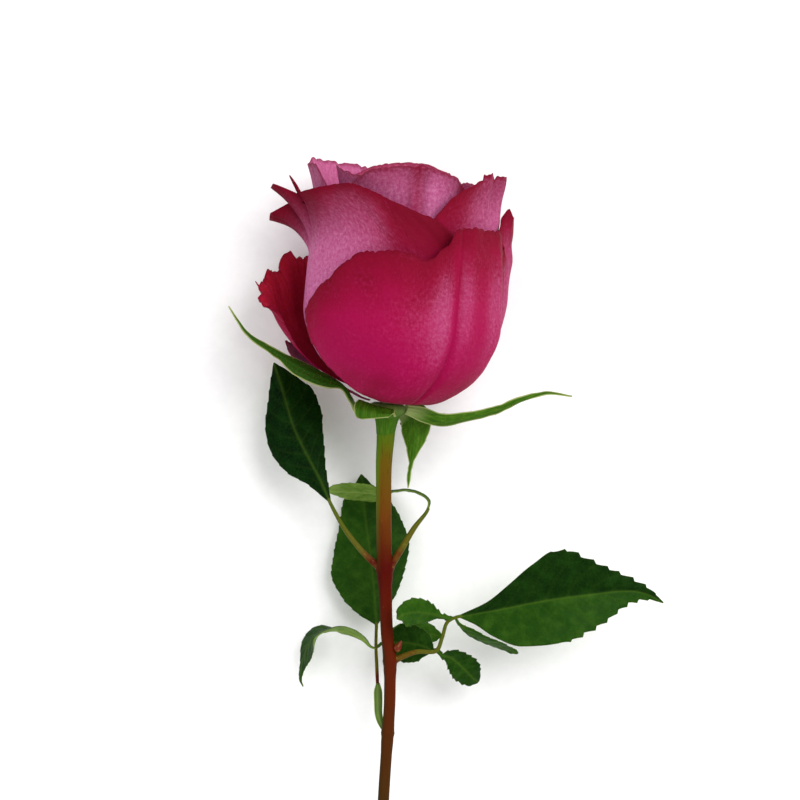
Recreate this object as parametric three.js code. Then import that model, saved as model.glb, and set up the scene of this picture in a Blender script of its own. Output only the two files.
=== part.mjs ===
// A cut rose lying on a table: a half-open bloom on a thin stem, with five sepals and three leaves.
// Millimetres, +Z up from the table, +Y along the stem towards the bloom, +X to the bloom's right.
// Every organ is one closed solid: the stem, the hip, each petal, sepal, bud, leaf stalk and leaflet.
import * as THREE from "three";

// ---------------------------------------------------------------- driving dimensions
const CUP_RADIUS = 27; // widest radius of the outer petals
const BLOOM_HEIGHT = 60; // petal base to the tallest rim, along the bloom's axis
const HEART_RADIUS = 2.4; // radius of the innermost petal at its belly
const PETAL_THICKNESS = 0.4;
const CLAW_RING_RADIUS = 4.5; // where the outer petals are attached
const HEART_CLAW_RADIUS = 0.7; // where the innermost petal is attached
const HEART_CLAW_HEIGHT = 4.6;
const STEM_LENGTH = 238; // petal base to the cut end
const NECK_RADIUS = 1.95; // stem just below the bloom's swollen neck
const CUT_END_RADIUS = 1.75;
const CUT_SLANT = 1.6; // how far up the stem the slanted cut runs
const HIP_RADIUS = 4.6;
const HIP_LENGTH = 8;
const LEAF_THICKNESS = 0.4;
const SEPAL_THICKNESS = 0.5;
const STALK_RADIUS = 0.75; // leaf stalks where they leave the stem
const CLEARANCE = 0.3; // air between neighbouring organs

// Distances from the petal base down the stem to where the leaves are attached.
const UPPER_NODE = 42;
const MIDDLE_NODE = 65.3;
const LOWER_NODE = 83.5;
const BARE_NODES = [126, 166, 207]; // leafless joints, with a dormant bud each

const LEAN = THREE.MathUtils.degToRad(4.5); // the bloom leans to its right
const PRESS_HEIGHT = 3; // petals nearer the table than this are pressed flatter
const PRESS_SHARE = 0.66;

const COLOURS = {
  petal: [0x9c1248, 0.6],
  stem: [0x6b5a1e, 0.5],
  green: [0x4f7a1c, 0.5],
  leaf: [0x14420f, 0.45],
};

const v3 = (x, y, z) => new THREE.Vector3(x, y, z);
const smooth = (x) => THREE.MathUtils.smoothstep(x, 0, 1);

// ---------------------------------------------------------------- curves and closed skins

// Smooth value at x through [x, value] pairs, which never overshoots them.
function along(keys, x) {
  const last = keys.length - 1;
  if (x <= keys[0][0]) return keys[0][1];
  if (x >= keys[last][0]) return keys[last][1];
  const i = keys.findIndex((k) => k[0] > x) - 1;
  const slope = (j) => (keys[j + 1][1] - keys[j][1]) / (keys[j + 1][0] - keys[j][0]);
  const tangent = (j) => {
    if (j === 0) return slope(0);
    if (j === last) return slope(last - 1);
    const before = slope(j - 1);
    const after = slope(j);
    return before * after <= 0 ? 0 : (2 * before * after) / (before + after);
  };
  const width = keys[i + 1][0] - keys[i][0];
  const t = (x - keys[i][0]) / width;
  const rise = keys[i + 1][1] - keys[i][1];
  const a = tangent(i) * width - rise;
  const b = -tangent(i + 1) * width + rise;
  return (1 - t) * keys[i][1] + t * keys[i + 1][1] + t * (1 - t) * ((1 - t) * a + t * b);
}

const pathOf = (points) => new THREE.CatmullRomCurve3(points, false, "centripetal");

// A closed solid from rows of points: each row is a ring of an even number of points, and the two end
// rings are capped by strips from one half of the ring to the other.
function ringsSolid(rings) {
  const sides = rings[0].length;
  const positions = rings.flat();
  const faces = [];
  for (let i = 0; i + 1 < rings.length; i++) {
    for (let j = 0; j < sides; j++) {
      const a = i * sides + j;
      const b = i * sides + ((j + 1) % sides);
      faces.push(a, b, a + sides, b, b + sides, a + sides);
    }
  }
  const end = (rings.length - 1) * sides;
  for (let j = 0; j + 1 < sides / 2; j++) {
    const [near, next, far, last] = [j, j + 1, sides - 2 - j, sides - 1 - j];
    faces.push(near, far, next, near, last, far);
    faces.push(end + near, end + next, end + far, end + near, end + far, end + last);
  }
  return new THREE.BufferGeometry().setFromPoints(positions).setIndex(faces);
}

// A closed sheet of even thickness about surface(u, v), with u from -1 to 1 and v from 0 to 1.
function sheetSolid(surface, columns, rows, thickness) {
  const step = 1e-3;
  const normal = (u, v) => {
    const du = surface(Math.min(u + step, 1), v).sub(surface(Math.max(u - step, -1), v));
    const dv = surface(u, Math.min(v + step, 1)).sub(surface(u, Math.max(v - step, 0)));
    return du.cross(dv).normalize();
  };
  const rings = [];
  for (let j = 0; j <= rows; j++) {
    const front = [];
    const back = [];
    for (let i = 0; i <= columns; i++) {
      const u = (2 * i) / columns - 1;
      const at = surface(u, j / rows);
      const half = normal(u, j / rows).multiplyScalar(thickness / 2);
      front.push(at.clone().add(half));
      back.unshift(at.clone().sub(half));
    }
    rings.push([...front, ...back]);
  }
  return ringsSolid(rings);
}

// The rings of a round stalk along a path, with its radius from keys along it.
function stalkRings(path, radiusKeys, sides, steps) {
  const rings = [];
  for (let i = 0; i <= steps; i++) {
    const t = i / steps;
    const centre = path.getPointAt(t);
    const tangent = path.getTangentAt(t);
    const side = v3(0, 0, 1).cross(tangent).normalize();
    const up = tangent.clone().cross(side);
    const radius = along(radiusKeys, t);
    const ring = [];
    for (let j = 0; j < sides; j++) {
      const turn = (2 * Math.PI * j) / sides;
      ring.push(
        centre
          .clone()
          .addScaledVector(side, radius * Math.cos(turn))
          .addScaledVector(up, radius * Math.sin(turn)),
      );
    }
    rings.push(ring);
  }
  return rings;
}

const rose = new THREE.Group();

function addOrgan(name, geometry, [colour, roughness]) {
  const material = new THREE.MeshStandardMaterial({ color: colour, roughness, metalness: 0 });
  const mesh = new THREE.Mesh(geometry, material);
  mesh.name = name;
  rose.add(mesh);
  return mesh;
}

// ---------------------------------------------------------------- how the flower lies
// The bloom rests on its back petals and the stem's cut end touches the table, which sets the slope.
const AXIS_HEIGHT = CUP_RADIUS - 2.85; // of the bloom's axis above the table, at the belly
const BELLY_HEIGHT = 22; // up the bloom's axis to where it is widest
const SLOPE = Math.atan2(AXIS_HEIGHT - CUT_END_RADIUS, STEM_LENGTH + BELLY_HEIGHT);
const HIP_CENTRE_Z = AXIS_HEIGHT - BELLY_HEIGHT * Math.sin(SLOPE);

const bloomAxis = v3(
  Math.sin(LEAN) * Math.cos(SLOPE),
  Math.cos(LEAN) * Math.cos(SLOPE),
  Math.sin(SLOPE),
);
const bloomRight = v3(Math.cos(LEAN), -Math.sin(LEAN), 0);
const bloomFront = bloomRight.clone().cross(bloomAxis);
const bloomBase = v3(0, 0, HIP_CENTRE_Z);

// A point given by its radius, its angle from the front towards the right, and its height up the axis.
function bloomPoint(radius, angle, height) {
  return bloomBase
    .clone()
    .addScaledVector(bloomAxis, height)
    .addScaledVector(bloomRight, radius * Math.sin(angle))
    .addScaledVector(bloomFront, radius * Math.cos(angle));
}

// ---------------------------------------------------------------- stem
// Sideways wander of the stem, as [distance below the petal base, x].
const STEM_WANDER = [
  [0, 0.1], [9, -0.6], [18, -1.1], [36, -1.0], [47, -0.7], [58, -0.3], [66, 0.5], [75, 0.4],
  [85, -0.2], [99, -1.1], [130, -2.6], [170, -3.2], [207, -2.4], [STEM_LENGTH, -0.4],
];
const STEM_RADII = [
  [HIP_LENGTH, NECK_RADIUS + 0.35], [13, NECK_RADIUS + 0.15], [20, NECK_RADIUS],
  [UPPER_NODE - 4, NECK_RADIUS - 0.03], [UPPER_NODE, NECK_RADIUS + 0.2],
  [UPPER_NODE + 5, NECK_RADIUS - 0.28], [MIDDLE_NODE - 6, NECK_RADIUS - 0.4],
  [MIDDLE_NODE, NECK_RADIUS - 0.18], [MIDDLE_NODE + 5, NECK_RADIUS - 0.48],
  [LOWER_NODE - 4, NECK_RADIUS - 0.48], [LOWER_NODE, NECK_RADIUS - 0.32],
  [LOWER_NODE + 6, NECK_RADIUS - 0.52],
  ...BARE_NODES.flatMap((node) => [
    [node - 6, CUT_END_RADIUS - 0.25], [node, CUT_END_RADIUS + 0.1], [node + 6, CUT_END_RADIUS - 0.2],
  ]),
  [STEM_LENGTH, CUT_END_RADIUS],
];

function stemCentre(distance) {
  return v3(along(STEM_WANDER, distance), -distance, HIP_CENTRE_Z - distance * Math.tan(SLOPE));
}
const stemRadius = (distance) => along(STEM_RADII, distance);

const STEM_STEPS = 46;
const stemStart = HIP_LENGTH + CLEARANCE;
const stemPath = pathOf(
  Array.from({ length: STEM_STEPS }, (_, i) =>
    stemCentre(stemStart + ((STEM_LENGTH - stemStart) * i) / (STEM_STEPS - 1)),
  ),
);
const stemKeys = STEM_RADII.map(([distance, radius]) => [
  (distance - stemStart) / (STEM_LENGTH - stemStart),
  radius,
]);
const stemRings = stalkRings(stemPath, stemKeys, 10, STEM_STEPS);
const cutRing = stemRings[STEM_STEPS];
for (const point of cutRing) {
  const across = (point.z - stemCentre(STEM_LENGTH).z) / CUT_END_RADIUS;
  point.y += (CUT_SLANT * (across + 1)) / 2;
}
addOrgan("stem", ringsSolid(stemRings), COLOURS.stem);

// ---------------------------------------------------------------- hip
const hipProfile = [
  [0, -HIP_LENGTH], [NECK_RADIUS + 0.35, -HIP_LENGTH], [NECK_RADIUS + 0.75, -5.4],
  [NECK_RADIUS + 1.3, -3.6], [HIP_RADIUS - 0.3, -2.3], [HIP_RADIUS, -1.5], [HIP_RADIUS - 0.3, -0.7],
  [HIP_RADIUS - 0.9, -CLEARANCE], [0, -CLEARANCE],
];
const hip = addOrgan(
  "hip",
  new THREE.LatheGeometry(hipProfile.map(([r, y]) => new THREE.Vector2(r, y)), 16),
  COLOURS.green,
);
hip.position.copy(bloomBase);
hip.quaternion.setFromUnitVectors(v3(0, 1, 0), bloomAxis);

// ---------------------------------------------------------------- petals
// The petals are nested shells. A layer of 0 is the outermost, and a layer of 1 is the heart of the bloom.
// Each side profile runs from the claw to the tallest rim, as [share of the way, radius, height].
const OUTER_PROFILE = [
  [0, CLAW_RING_RADIUS, 0.4], [0.12, 0.46 * CUP_RADIUS, 0.9], [0.237, 0.735 * CUP_RADIUS, 5.2],
  [0.354, 0.91 * CUP_RADIUS, 12], [0.486, CUP_RADIUS, 0.35 * BLOOM_HEIGHT],
  [0.633, 0.99 * CUP_RADIUS, 0.525 * BLOOM_HEIGHT], [0.79, 0.955 * CUP_RADIUS, 0.71 * BLOOM_HEIGHT],
  [1, 0.92 * CUP_RADIUS, 0.96 * BLOOM_HEIGHT], [1.12, 0.91 * CUP_RADIUS, 1.1 * BLOOM_HEIGHT],
];
const HEART_PROFILE = [
  [0, HEART_CLAW_RADIUS, HEART_CLAW_HEIGHT], [0.12, 0.6 * HEART_RADIUS, 9], [0.237, 0.8 * HEART_RADIUS, 14.5],
  [0.354, 0.92 * HEART_RADIUS, 21.5], [0.486, HEART_RADIUS, 0.48 * BLOOM_HEIGHT],
  [0.633, HEART_RADIUS, 0.6 * BLOOM_HEIGHT], [0.79, 0.9 * HEART_RADIUS, 0.75 * BLOOM_HEIGHT],
  [1, 0.8 * HEART_RADIUS, 0.96 * BLOOM_HEIGHT], [1.12, 0.8 * HEART_RADIUS, 1.1 * BLOOM_HEIGHT],
];
const BROAD_CLAW = [[0, 0.36], [0.12, 0.62], [0.3, 0.93], [0.45, 1], [1.2, 1]]; // share of the full width
const NARROW_CLAW = [[0, 0.28], [0.12, 0.42], [0.27, 0.8], [0.42, 1], [1.2, 1]];
const TUCK = [[0, 0], [0.14, 1], [0.3, 0.9], [0.55, 0]]; // how a tucked petal hugs the ones inside it
const EVEN = [[-1, 0], [1, 0]];
const ROUND_RIM = [[-1, 0.78], [-0.75, 0.91], [-0.35, 0.98], [0, 1], [0.35, 0.98], [0.75, 0.91], [1, 0.78]];

// angle and half are degrees round the bloom, and rim is the height of the edge as a share of the bloom's.
// open leans the petal outwards from its claw, and roll turns the last part of it out, in degrees.
const petal = (name, layer, angle, half, rim, shape = {}) => ({
  name, layer, angle, half, rim,
  claw: NARROW_CLAW, open: EVEN, roll: EVEN, rollLength: 0.22, tuck: 0, ...shape,
});

const PETALS = [
  petal("petal_guard_left", -0.15, -107, 17, [[-1, 0.14], [0, 0.18], [1, 0.14]],
    { open: [[-1, 2], [0, 4], [1, 2]] }),
  petal("petal_front", 0, 13, 67,
    [[-1, 0.383], [-0.74, 0.535], [-0.5, 0.632], [-0.24, 0.655], [0.06, 0.632], [0.2, 0.672], [0.3, 0.748],
      [0.64, 0.755], [0.85, 0.73], [1, 0.58]],
    { claw: BROAD_CLAW }),
  petal("petal_open_left", 0.035, -126, 46,
    [[-1, 0.55], [-0.5, 0.62], [-0.1, 0.6], [0.3, 0.55], [0.75, 0.5], [1, 0.42]],
    { open: [[-1, 0], [-0.5, 5], [0, 11], [0.5, 15], [0.85, 12], [1, 9]],
      roll: [[-1, 0], [-0.2, 10], [0.4, 34], [1, 20]], tuck: 0.07 }),
  petal("petal_right", 0.07, 115, 52,
    [[-1, 0.7], [-0.45, 0.76], [0, 0.68], [0.6, 0.66], [1, 0.5]],
    { open: [[-1, 0], [-0.5, 2], [0, 5], [0.5, 2], [1, 0]],
      roll: [[-1, 0], [-0.45, 22], [0.2, 12], [1, 0]] }),
  petal("petal_back", 0.09 + PETAL_THICKNESS / 10, 176, 52, [[-1, 0.62], [0, 0.72], [1, 0.62]]),
  petal("petal_flared_left", 0.17, -27, 70,
    [[-1, 0.8], [-0.7, 0.865], [-0.47, 0.883], [-0.18, 0.9], [0.38, 0.833], [0.74, 0.775], [1, 0.68]],
    { roll: [[-1, 62], [-0.6, 40], [-0.3, 8], [1, 0]], rollLength: 0.25 }),
  petal("petal_creased_right", 0.21, 72, 56,
    [[-1, 0.68], [-0.5, 0.88], [0, 0.958], [0.5, 0.94], [1, 0.8]],
    { roll: [[-1, 0], [-0.2, 6], [0.2, 14], [1, 8]] }),
  petal("petal_back_second", 0.255, 178, 60, ROUND_RIM, { roll: [[-1, 4], [0, 14], [1, 4]] }),
  petal("petal_tall_left", 0.3, -126, 61,
    [[-1, 0.82], [-0.5, 0.95], [0.3, 0.99], [0.75, 0.98], [1, 0.82]],
    { roll: [[-1, 4], [0, 16], [0.8, 22], [1, 10]] }),
  petal("petal_right_second", 0.34, 118, 60, ROUND_RIM, { roll: [[-1, 4], [0, 14], [1, 6]] }),
  petal("petal_crown_front", 0.38, 4, 66,
    [[-1, 0.84], [-0.6, 0.93], [-0.2, 0.995], [0.15, 1], [0.45, 0.975], [0.8, 0.9], [1, 0.83]],
    { roll: [[-1, 4], [0, 18], [1, 4]] }),
];

// The heart's petals follow one another by the golden angle, each a layer further in and a little lower.
const HEART_PETALS = 12;
const GOLDEN_ANGLE = 137.5;
for (let i = 0; i < HEART_PETALS; i++) {
  const inward = i / (HEART_PETALS - 1);
  PETALS.push(
    petal(
      "petal_heart_" + String(i + 1).padStart(2, "0"),
      0.43 + 0.53 * inward,
      -72 - GOLDEN_ANGLE * i,
      66 + 26 * inward,
      ROUND_RIM.map(([u, share]) => [u, share * (0.98 - 0.09 * inward)]),
      { roll: [[-1, 6], [0, 20 - 10 * inward], [1, 6]] },
    ),
  );
}

const MERIDIAN_STEPS = 48;

// The radius and height of a layer's profile at a share of the way up it.
const radii = (profile) => profile.map(([share, radius]) => [share, radius]);
const heights = (profile) => profile.map(([share, , height]) => [share, height]);
function profileAt(layer, share) {
  const mix = (outer, heart) => THREE.MathUtils.lerp(along(outer, share), along(heart, share), layer);
  return [
    mix(radii(OUTER_PROFILE), radii(HEART_PROFILE)),
    mix(heights(OUTER_PROFILE), heights(HEART_PROFILE)),
  ];
}

// The share of the way up a petal's profile that reaches its rim, at one u.
function rimShare(petal, u) {
  const reach = OUTER_PROFILE.map(([share]) => [profileAt(petal.layer, share)[1], share]);
  return along(reach, along(petal.rim, u) * BLOOM_HEIGHT);
}

// The petal's side profile at one u, as [radius, height] points from claw to rim.
function meridian(petal, u) {
  const top = rimShare(petal, u);
  const at = (x) => profileAt(petal.layer + petal.tuck * along(TUCK, top * x), top * x);
  const open = THREE.MathUtils.degToRad(along(petal.open, u));
  const roll = THREE.MathUtils.degToRad(along(petal.roll, u));
  const points = [at(0)];
  for (let i = 1; i <= MERIDIAN_STEPS; i++) {
    const x = i / MERIDIAN_STEPS;
    const [r0, h0] = at(x - 1 / MERIDIAN_STEPS);
    const [r1, h1] = at(x);
    const rolled = Math.max(0, (x - 1 + petal.rollLength) / petal.rollLength);
    const bend = open * smooth(x / 0.45) + roll * rolled ** 1.5;
    const [dr, dh] = [r1 - r0, h1 - h0];
    const [r, h] = points[i - 1];
    points.push([
      r + dr * Math.cos(bend) + dh * Math.sin(bend),
      h - dr * Math.sin(bend) + dh * Math.cos(bend),
    ]);
  }
  return { points, top };
}

function petalSurface(petal) {
  const cache = new Map();
  const column = (u) => {
    if (!cache.has(u)) cache.set(u, meridian(petal, u));
    return cache.get(u);
  };
  return (u, v) => {
    const { points, top } = column(u);
    const at = Math.min(v * MERIDIAN_STEPS, MERIDIAN_STEPS - 1e-9);
    const i = Math.floor(at);
    const radius = THREE.MathUtils.lerp(points[i][0], points[i + 1][0], at - i);
    const height = THREE.MathUtils.lerp(points[i][1], points[i + 1][1], at - i);
    const spread = THREE.MathUtils.degToRad(petal.half) * along(petal.claw, v * top);
    const angle = THREE.MathUtils.degToRad(petal.angle) + spread * u;
    const point = bloomPoint(radius, angle, height);
    if (point.z < PRESS_HEIGHT) point.z = PRESS_HEIGHT - (PRESS_HEIGHT - point.z) * PRESS_SHARE;
    return point;
  };
}

for (const each of PETALS) {
  const outside = each.layer < 0.4;
  const columns = outside ? 9 : 7;
  const rows = outside ? 8 : 7;
  addOrgan(each.name, sheetSolid(petalSurface(each), columns, rows, PETAL_THICKNESS), COLOURS.petal);
}

// ---------------------------------------------------------------- leaf blades and sepals
// A blade follows a midrib. widths holds its left and right half-widths along the midrib, twist turns the
// blade about the midrib and fold lifts its halves into a shallow V, both in degrees. A blade lies face up,
// or has its width along the direction that side gives.
function bladeSurface({ midrib, left, right = left, twist = EVEN, fold = 0, side = null }) {
  const path = pathOf(midrib);
  return (u, v) => {
    const tangent = path.getTangentAt(v);
    const across = side
      ? side.clone().addScaledVector(tangent, -side.dot(tangent)).normalize()
      : tangent.clone().cross(v3(0, 0, 1)).normalize();
    const lift = THREE.MathUtils.clamp(4 * u, -1, 1) * fold;
    across.applyAxisAngle(tangent, THREE.MathUtils.degToRad(along(twist, v) + lift));
    const half = along(u < 0 ? left : right, v);
    return path.getPointAt(v).addScaledVector(across, half * u);
  };
}

const offsets = (origin, list) => list.map(([x, y, z]) => v3(origin.x + x, origin.y + y, origin.z + z));

function addBlade(name, shape, rows = 9, thickness = LEAF_THICKNESS, colour = COLOURS.leaf) {
  return addOrgan(name, sheetSolid(bladeSurface(shape), 4, rows, thickness), colour);
}

function addStalk(name, points, radii, steps = 10) {
  return addOrgan(name, ringsSolid(stalkRings(pathOf(points), radii, 6, steps)), COLOURS.green);
}

// Where a stalk leaves the stem at a node, clear of the stem's skin, in a direction across the stem.
function leaveStem(node, direction, reach = STALK_RADIUS) {
  const away = v3(...direction).normalize();
  return stemCentre(node).addScaledVector(away, stemRadius(node) + reach + CLEARANCE);
}

// The outer petals' profile, as their height at each radius.
const undersideOfPetals = OUTER_PROFILE.slice(0, 5).map(([, radius, height]) => [radius, height]);
const SEPAL_SKIN = HIP_RADIUS + SEPAL_THICKNESS / 2 + CLEARANCE;

// A sepal's line starts on the hip. Each further point is given by its distance out from there, its angle
// round the bloom in degrees, and its depth below the outer petals.
const SEPALS = [
  {
    name: "sepal_left", start: [-80, -1.6],
    line: [[2.3, -80, 3.7], [4.2, -77, 1.8], [7, -74, 0.2], [11.8, -77, 1], [18.1, -81, 5], [25.2, -86, 12.1],
      [30.8, -88, 8], [33.7, -89, 3.9], [36.4, -90, -0.4]],
    left: [[0, 1.5], [0.15, 0.8], [0.25, 0.8], [0.35, 1.6], [0.5, 1.7], [0.7, 0.8], [1, 0.15]],
    twist: [[0, 60], [0.2, 50], [0.4, 40], [1, 30]],
  },
  {
    name: "sepal_right", start: [70, -1.6],
    line: [[2.7, 84, 2.8], [8.6, 90, 4.8], [14.3, 91, 7.3], [21, 92, 18], [27.7, 91, 18.1], [34, 91, 15.7],
      [40.6, 90, 15.9]],
    left: [[0, 1.4], [0.12, 2.1], [0.25, 1.9], [0.4, 1.5], [0.6, 1.1], [0.85, 0.5], [1, 0.15]],
    twist: [[0, 20], [0.4, 40], [1, 20]],
  },
  {
    name: "sepal_drooping", start: [130, -1.6],
    line: [[3.1, 121, 4.6], [3.5, 121, 8.5], [3.1, 120, 13.5], [2.4, 117, 18.5], [2.2, 114, 22]],
    left: [[0, 2.2], [0.2, 3.7], [0.4, 3], [0.62, 1.1], [0.72, 0.5], [0.9, 0.5], [1, 0.15]],
  },
  {
    name: "sepal_front", start: [-18, -1.5],
    line: [[1.3, -13, 2.3], [2.4, -10, 2.8], [3, -8, 3.6], [2.8, -6, 4.1]],
    left: [[0, 2.2], [0.3, 4.2], [0.6, 4], [0.85, 2.6], [1, 1]],
    side: v3(1, 0, 0),
  },
  {
    name: "sepal_back", start: [-174, -1.6],
    line: [[1.3, -175, 5.4], [1.4, -175, 9.2], [0.7, -176, 14.1], [-0.3, -180, 19], [-1.4, -187, 22.8]],
    left: [[0, 1.6], [0.2, 1.8], [0.5, 1.3], [0.75, 0.7], [1, 0.15]],
  },
];
for (const { name, start, line, ...shape } of SEPALS) {
  const attached = bloomPoint(SEPAL_SKIN, THREE.MathUtils.degToRad(start[0]), start[1]);
  const rest = line.map(([out, angle, depth]) => {
    const height = along(undersideOfPetals, SEPAL_SKIN + out) - depth;
    return bloomPoint(SEPAL_SKIN + out, THREE.MathUtils.degToRad(angle), height);
  });
  const blade = { midrib: [attached, ...rest], fold: 14, ...shape };
  addBlade(name, blade, 11, SEPAL_THICKNESS, COLOURS.green);
}

// ---------------------------------------------------------------- upper node: two single leaves
const upper = stemCentre(UPPER_NODE);

addStalk(
  "upper_left_stalk",
  [
    leaveStem(UPPER_NODE, [-1, 0.3, 0]),
    ...offsets(upper, [[-5.2, 4, -0.2], [-10, 10, -0.9], [-13.6, 16.4, -1.7]]),
  ],
  [[0, STALK_RADIUS], [0.6, 0.6], [1, 0.45]],
);
addBlade("upper_left_blade", {
  midrib: offsets(upper, [[-13.9, 17.1, -1.8], [-16.4, 22.6, -2.8], [-19.3, 28, -4], [-23, 35.6, -5.8],
    [-25.6, 44, -8], [-28.2, 52, -10.4]]),
  left: [[0, 0.4], [0.18, 3.9], [0.33, 7.4], [0.46, 8.4], [0.6, 7.4], [0.74, 5.2], [0.88, 2.6], [1, 0.15]],
  right: [[0, 0.4], [0.18, 2.4], [0.33, 4.9], [0.46, 6.6], [0.6, 7.8], [0.74, 7.1], [0.88, 3.4], [1, 0.15]],
  fold: 18,
});

addStalk(
  "upper_right_stalk",
  [
    leaveStem(UPPER_NODE, [1, 0.3, 0]),
    ...offsets(upper, [[4.4, 5.4, 0], [7.6, 10.6, -0.2], [10.4, 14.1, -0.9]]),
  ],
  [[0, STALK_RADIUS + 0.1], [0.5, 0.75], [1, 0.45]],
);
addBlade("upper_right_blade", {
  midrib: offsets(upper, [[10.9, 14.9, -1.5], [11.3, 16.9, -2.4], [9.8, 18.5, -4.2], [6, 19.7, -6.4],
    [1.8, 19.4, -7.6], [-2.5, 19.2, -8.2], [-8.7, 19.9, -8.6], [-14.5, 19.9, -8.8], [-19, 19.5, -9.6]]),
  left: [[0, 0.4], [0.15, 1.3], [0.35, 3.4], [0.6, 5.4], [0.8, 4.6], [0.93, 2], [1, 0.15]],
  twist: [[0, 90], [0.45, 92], [0.62, 112], [1, 116]],
}, 12);

// ---------------------------------------------------------------- middle node: a leaf of five leaflets
const middle = stemCentre(MIDDLE_NODE);

addStalk(
  "middle_leaf_stalk",
  [
    leaveStem(MIDDLE_NODE, [1, 0.25, 0.1]),
    ...offsets(middle, [[6.5, 2.4, 0.5], [11.6, 2.7, 0.8], [13.1, 6, 1.2], [14.4, 9.9, 1.5],
      [16.6, 11.2, 1.5]]),
  ],
  [[0, STALK_RADIUS], [0.4, 0.55], [1, 0.4]], 14,
);
addBlade("middle_leaf_terminal", {
  midrib: offsets(middle, [[17.6, 11.4, 1.4], [27.5, 13.2, 2.8], [37.5, 15.2, 3.8], [47.5, 16.6, 3.8],
    [60, 17.8, 1.8], [65, 16.8, 0], [69, 14.6, -2.4]]),
  left: [[0, 0.4], [0.19, 5.8], [0.38, 12.4], [0.58, 11.4], [0.68, 7.6], [0.8, 4], [0.9, 1.6], [1, 0.15]],
  right: [[0, 0.4], [0.1, 4.5], [0.19, 9], [0.38, 11.8], [0.58, 10.4], [0.68, 7.6], [0.8, 3.6], [0.9, 1.8],
    [1, 0.15]],
  fold: 16,
}, 11);
addBlade("middle_leaf_inner_left", {
  midrib: offsets(middle, [[12.6, 11.6, 3.2], [9.6, 12.4, 4.6], [6.4, 12.9, 7.2], [3.2, 12.4, 9.8],
    [1.8, 11.4, 11]]),
  left: [[0, 0.8], [0.3, 4], [0.6, 3.8], [0.85, 2.4], [1, 0.5]],
  right: [[0, 0.8], [0.3, 3], [0.6, 3.4], [0.85, 2.4], [1, 0.5]],
  twist: [[0, -20], [1, -10]], fold: 10,
}, 6);
addBlade("middle_leaf_inner_right", {
  midrib: offsets(middle, [[17.4, 9.4, -0.6], [20, 7.4, -1.4], [24, 5.2, -2.4], [28.4, 3.6, -3.4],
    [32.4, 1.6, -4.6]]),
  left: [[0, 0.6], [0.3, 2.6], [0.65, 2.8], [0.9, 1.4], [1, 0.2]],
  twist: [[0, 62], [0.8, 66], [1, 30]],
}, 7);
addBlade("middle_leaf_outer_left", {
  midrib: offsets(middle, [[11.2, 3.4, -1.4], [8.6, 4.6, -2.6], [4.8, 5.4, -4.2], [1, 5.2, -5.4],
    [-1.6, 4.8, -6]]),
  left: [[0, 0.6], [0.25, 3.8], [0.6, 4.6], [0.85, 2.6], [1, 0.4]],
  right: [[0, 0.6], [0.25, 3.6], [0.6, 4.6], [0.85, 2.6], [1, 0.4]],
}, 7);
addBlade("middle_leaf_outer_right", {
  midrib: offsets(middle, [[13, 1.6, 0], [15.4, 0.8, -0.8], [18.6, -2, -2.6], [21, -4.6, -4.8],
    [22.4, -5.8, -6.4]]),
  left: [[0, 0.6], [0.3, 3], [0.65, 3.6], [0.88, 2.4], [1, 0.8]],
  right: [[0, 0.6], [0.3, 2.4], [0.65, 3.2], [0.88, 2.2], [1, 0.8]],
  fold: 8,
}, 7);

// The middle leaf's axil holds a bud, and so does each leafless joint.
const BUD_PROFILE = [[0, 0], [0.7, 0], [1, 0.3], [0.8, 0.65], [0.25, 0.95], [0, 1]];
function addBud(name, node, direction, length, radius) {
  const away = v3(...direction).normalize();
  const out = v3(away.x, 0, away.z).normalize();
  const start = stemCentre(node).addScaledVector(out, stemRadius(node) + radius + CLEARANCE);
  const points = BUD_PROFILE.map(([r, y]) => new THREE.Vector2(r * radius, y * length));
  const bud = addOrgan(name, new THREE.LatheGeometry(points, 8), COLOURS.green);
  bud.position.copy(start);
  bud.quaternion.setFromUnitVectors(v3(0, 1, 0), away);
}
addBud("middle_bud", MIDDLE_NODE - 2.6, [0.5, 1, 0.3], 3.2, 0.9);
addBud("bare_bud_1", BARE_NODES[0] - 2, [-0.5, 1, 0.35], 2.6, 0.8);
addBud("bare_bud_2", BARE_NODES[1] - 2, [0.55, 1, 0.1], 2.4, 0.75);
addBud("bare_bud_3", BARE_NODES[2] - 2, [-0.35, 1, 0.6], 2.2, 0.7);

// ---------------------------------------------------------------- lower node: three leaflets behind the stem
const lower = stemCentre(LOWER_NODE);

addBlade("lower_leaf_stipule", {
  midrib: [
    leaveStem(LOWER_NODE, [-1, 0, -0.5], 0.6),
    ...offsets(lower, [[-2.2, 4, -1.7], [-2.4, 8, -2.2], [-2.5, 12, -2.8]]),
  ],
  left: [[0, 0.4], [0.25, 0.9], [0.8, 1.1], [1, 0.5]],
  fold: 20,
}, 5, LEAF_THICKNESS, COLOURS.green);
addStalk(
  "lower_leaf_stalk",
  offsets(lower, [[-2.6, 13, -3.1], [-2.8, 17, -4.2], [-3, 21, -5.4], [-2.9, 26, -6.8]]),
  [[0, 0.45], [1, 0.4]], 6,
);
addBlade("lower_leaf_terminal", {
  midrib: offsets(lower, [[-2.9, 26.9, -7.1], [-3.4, 34, -8.4], [-4.2, 43, -9.4], [-5.6, 53, -10.8],
    [-6.8, 65, -12.4]]),
  left: [[0, 0.4], [0.08, 4.6], [0.2, 8.4], [0.35, 10.6], [0.52, 9.2], [0.68, 7], [0.84, 5.2], [0.92, 2.6],
    [1, 0.15]],
  right: [[0, 0.4], [0.08, 2.6], [0.2, 5.8], [0.35, 8.4], [0.52, 10.2], [0.68, 9], [0.84, 6], [0.92, 2.8],
    [1, 0.15]],
  fold: 6,
}, 11);
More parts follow.
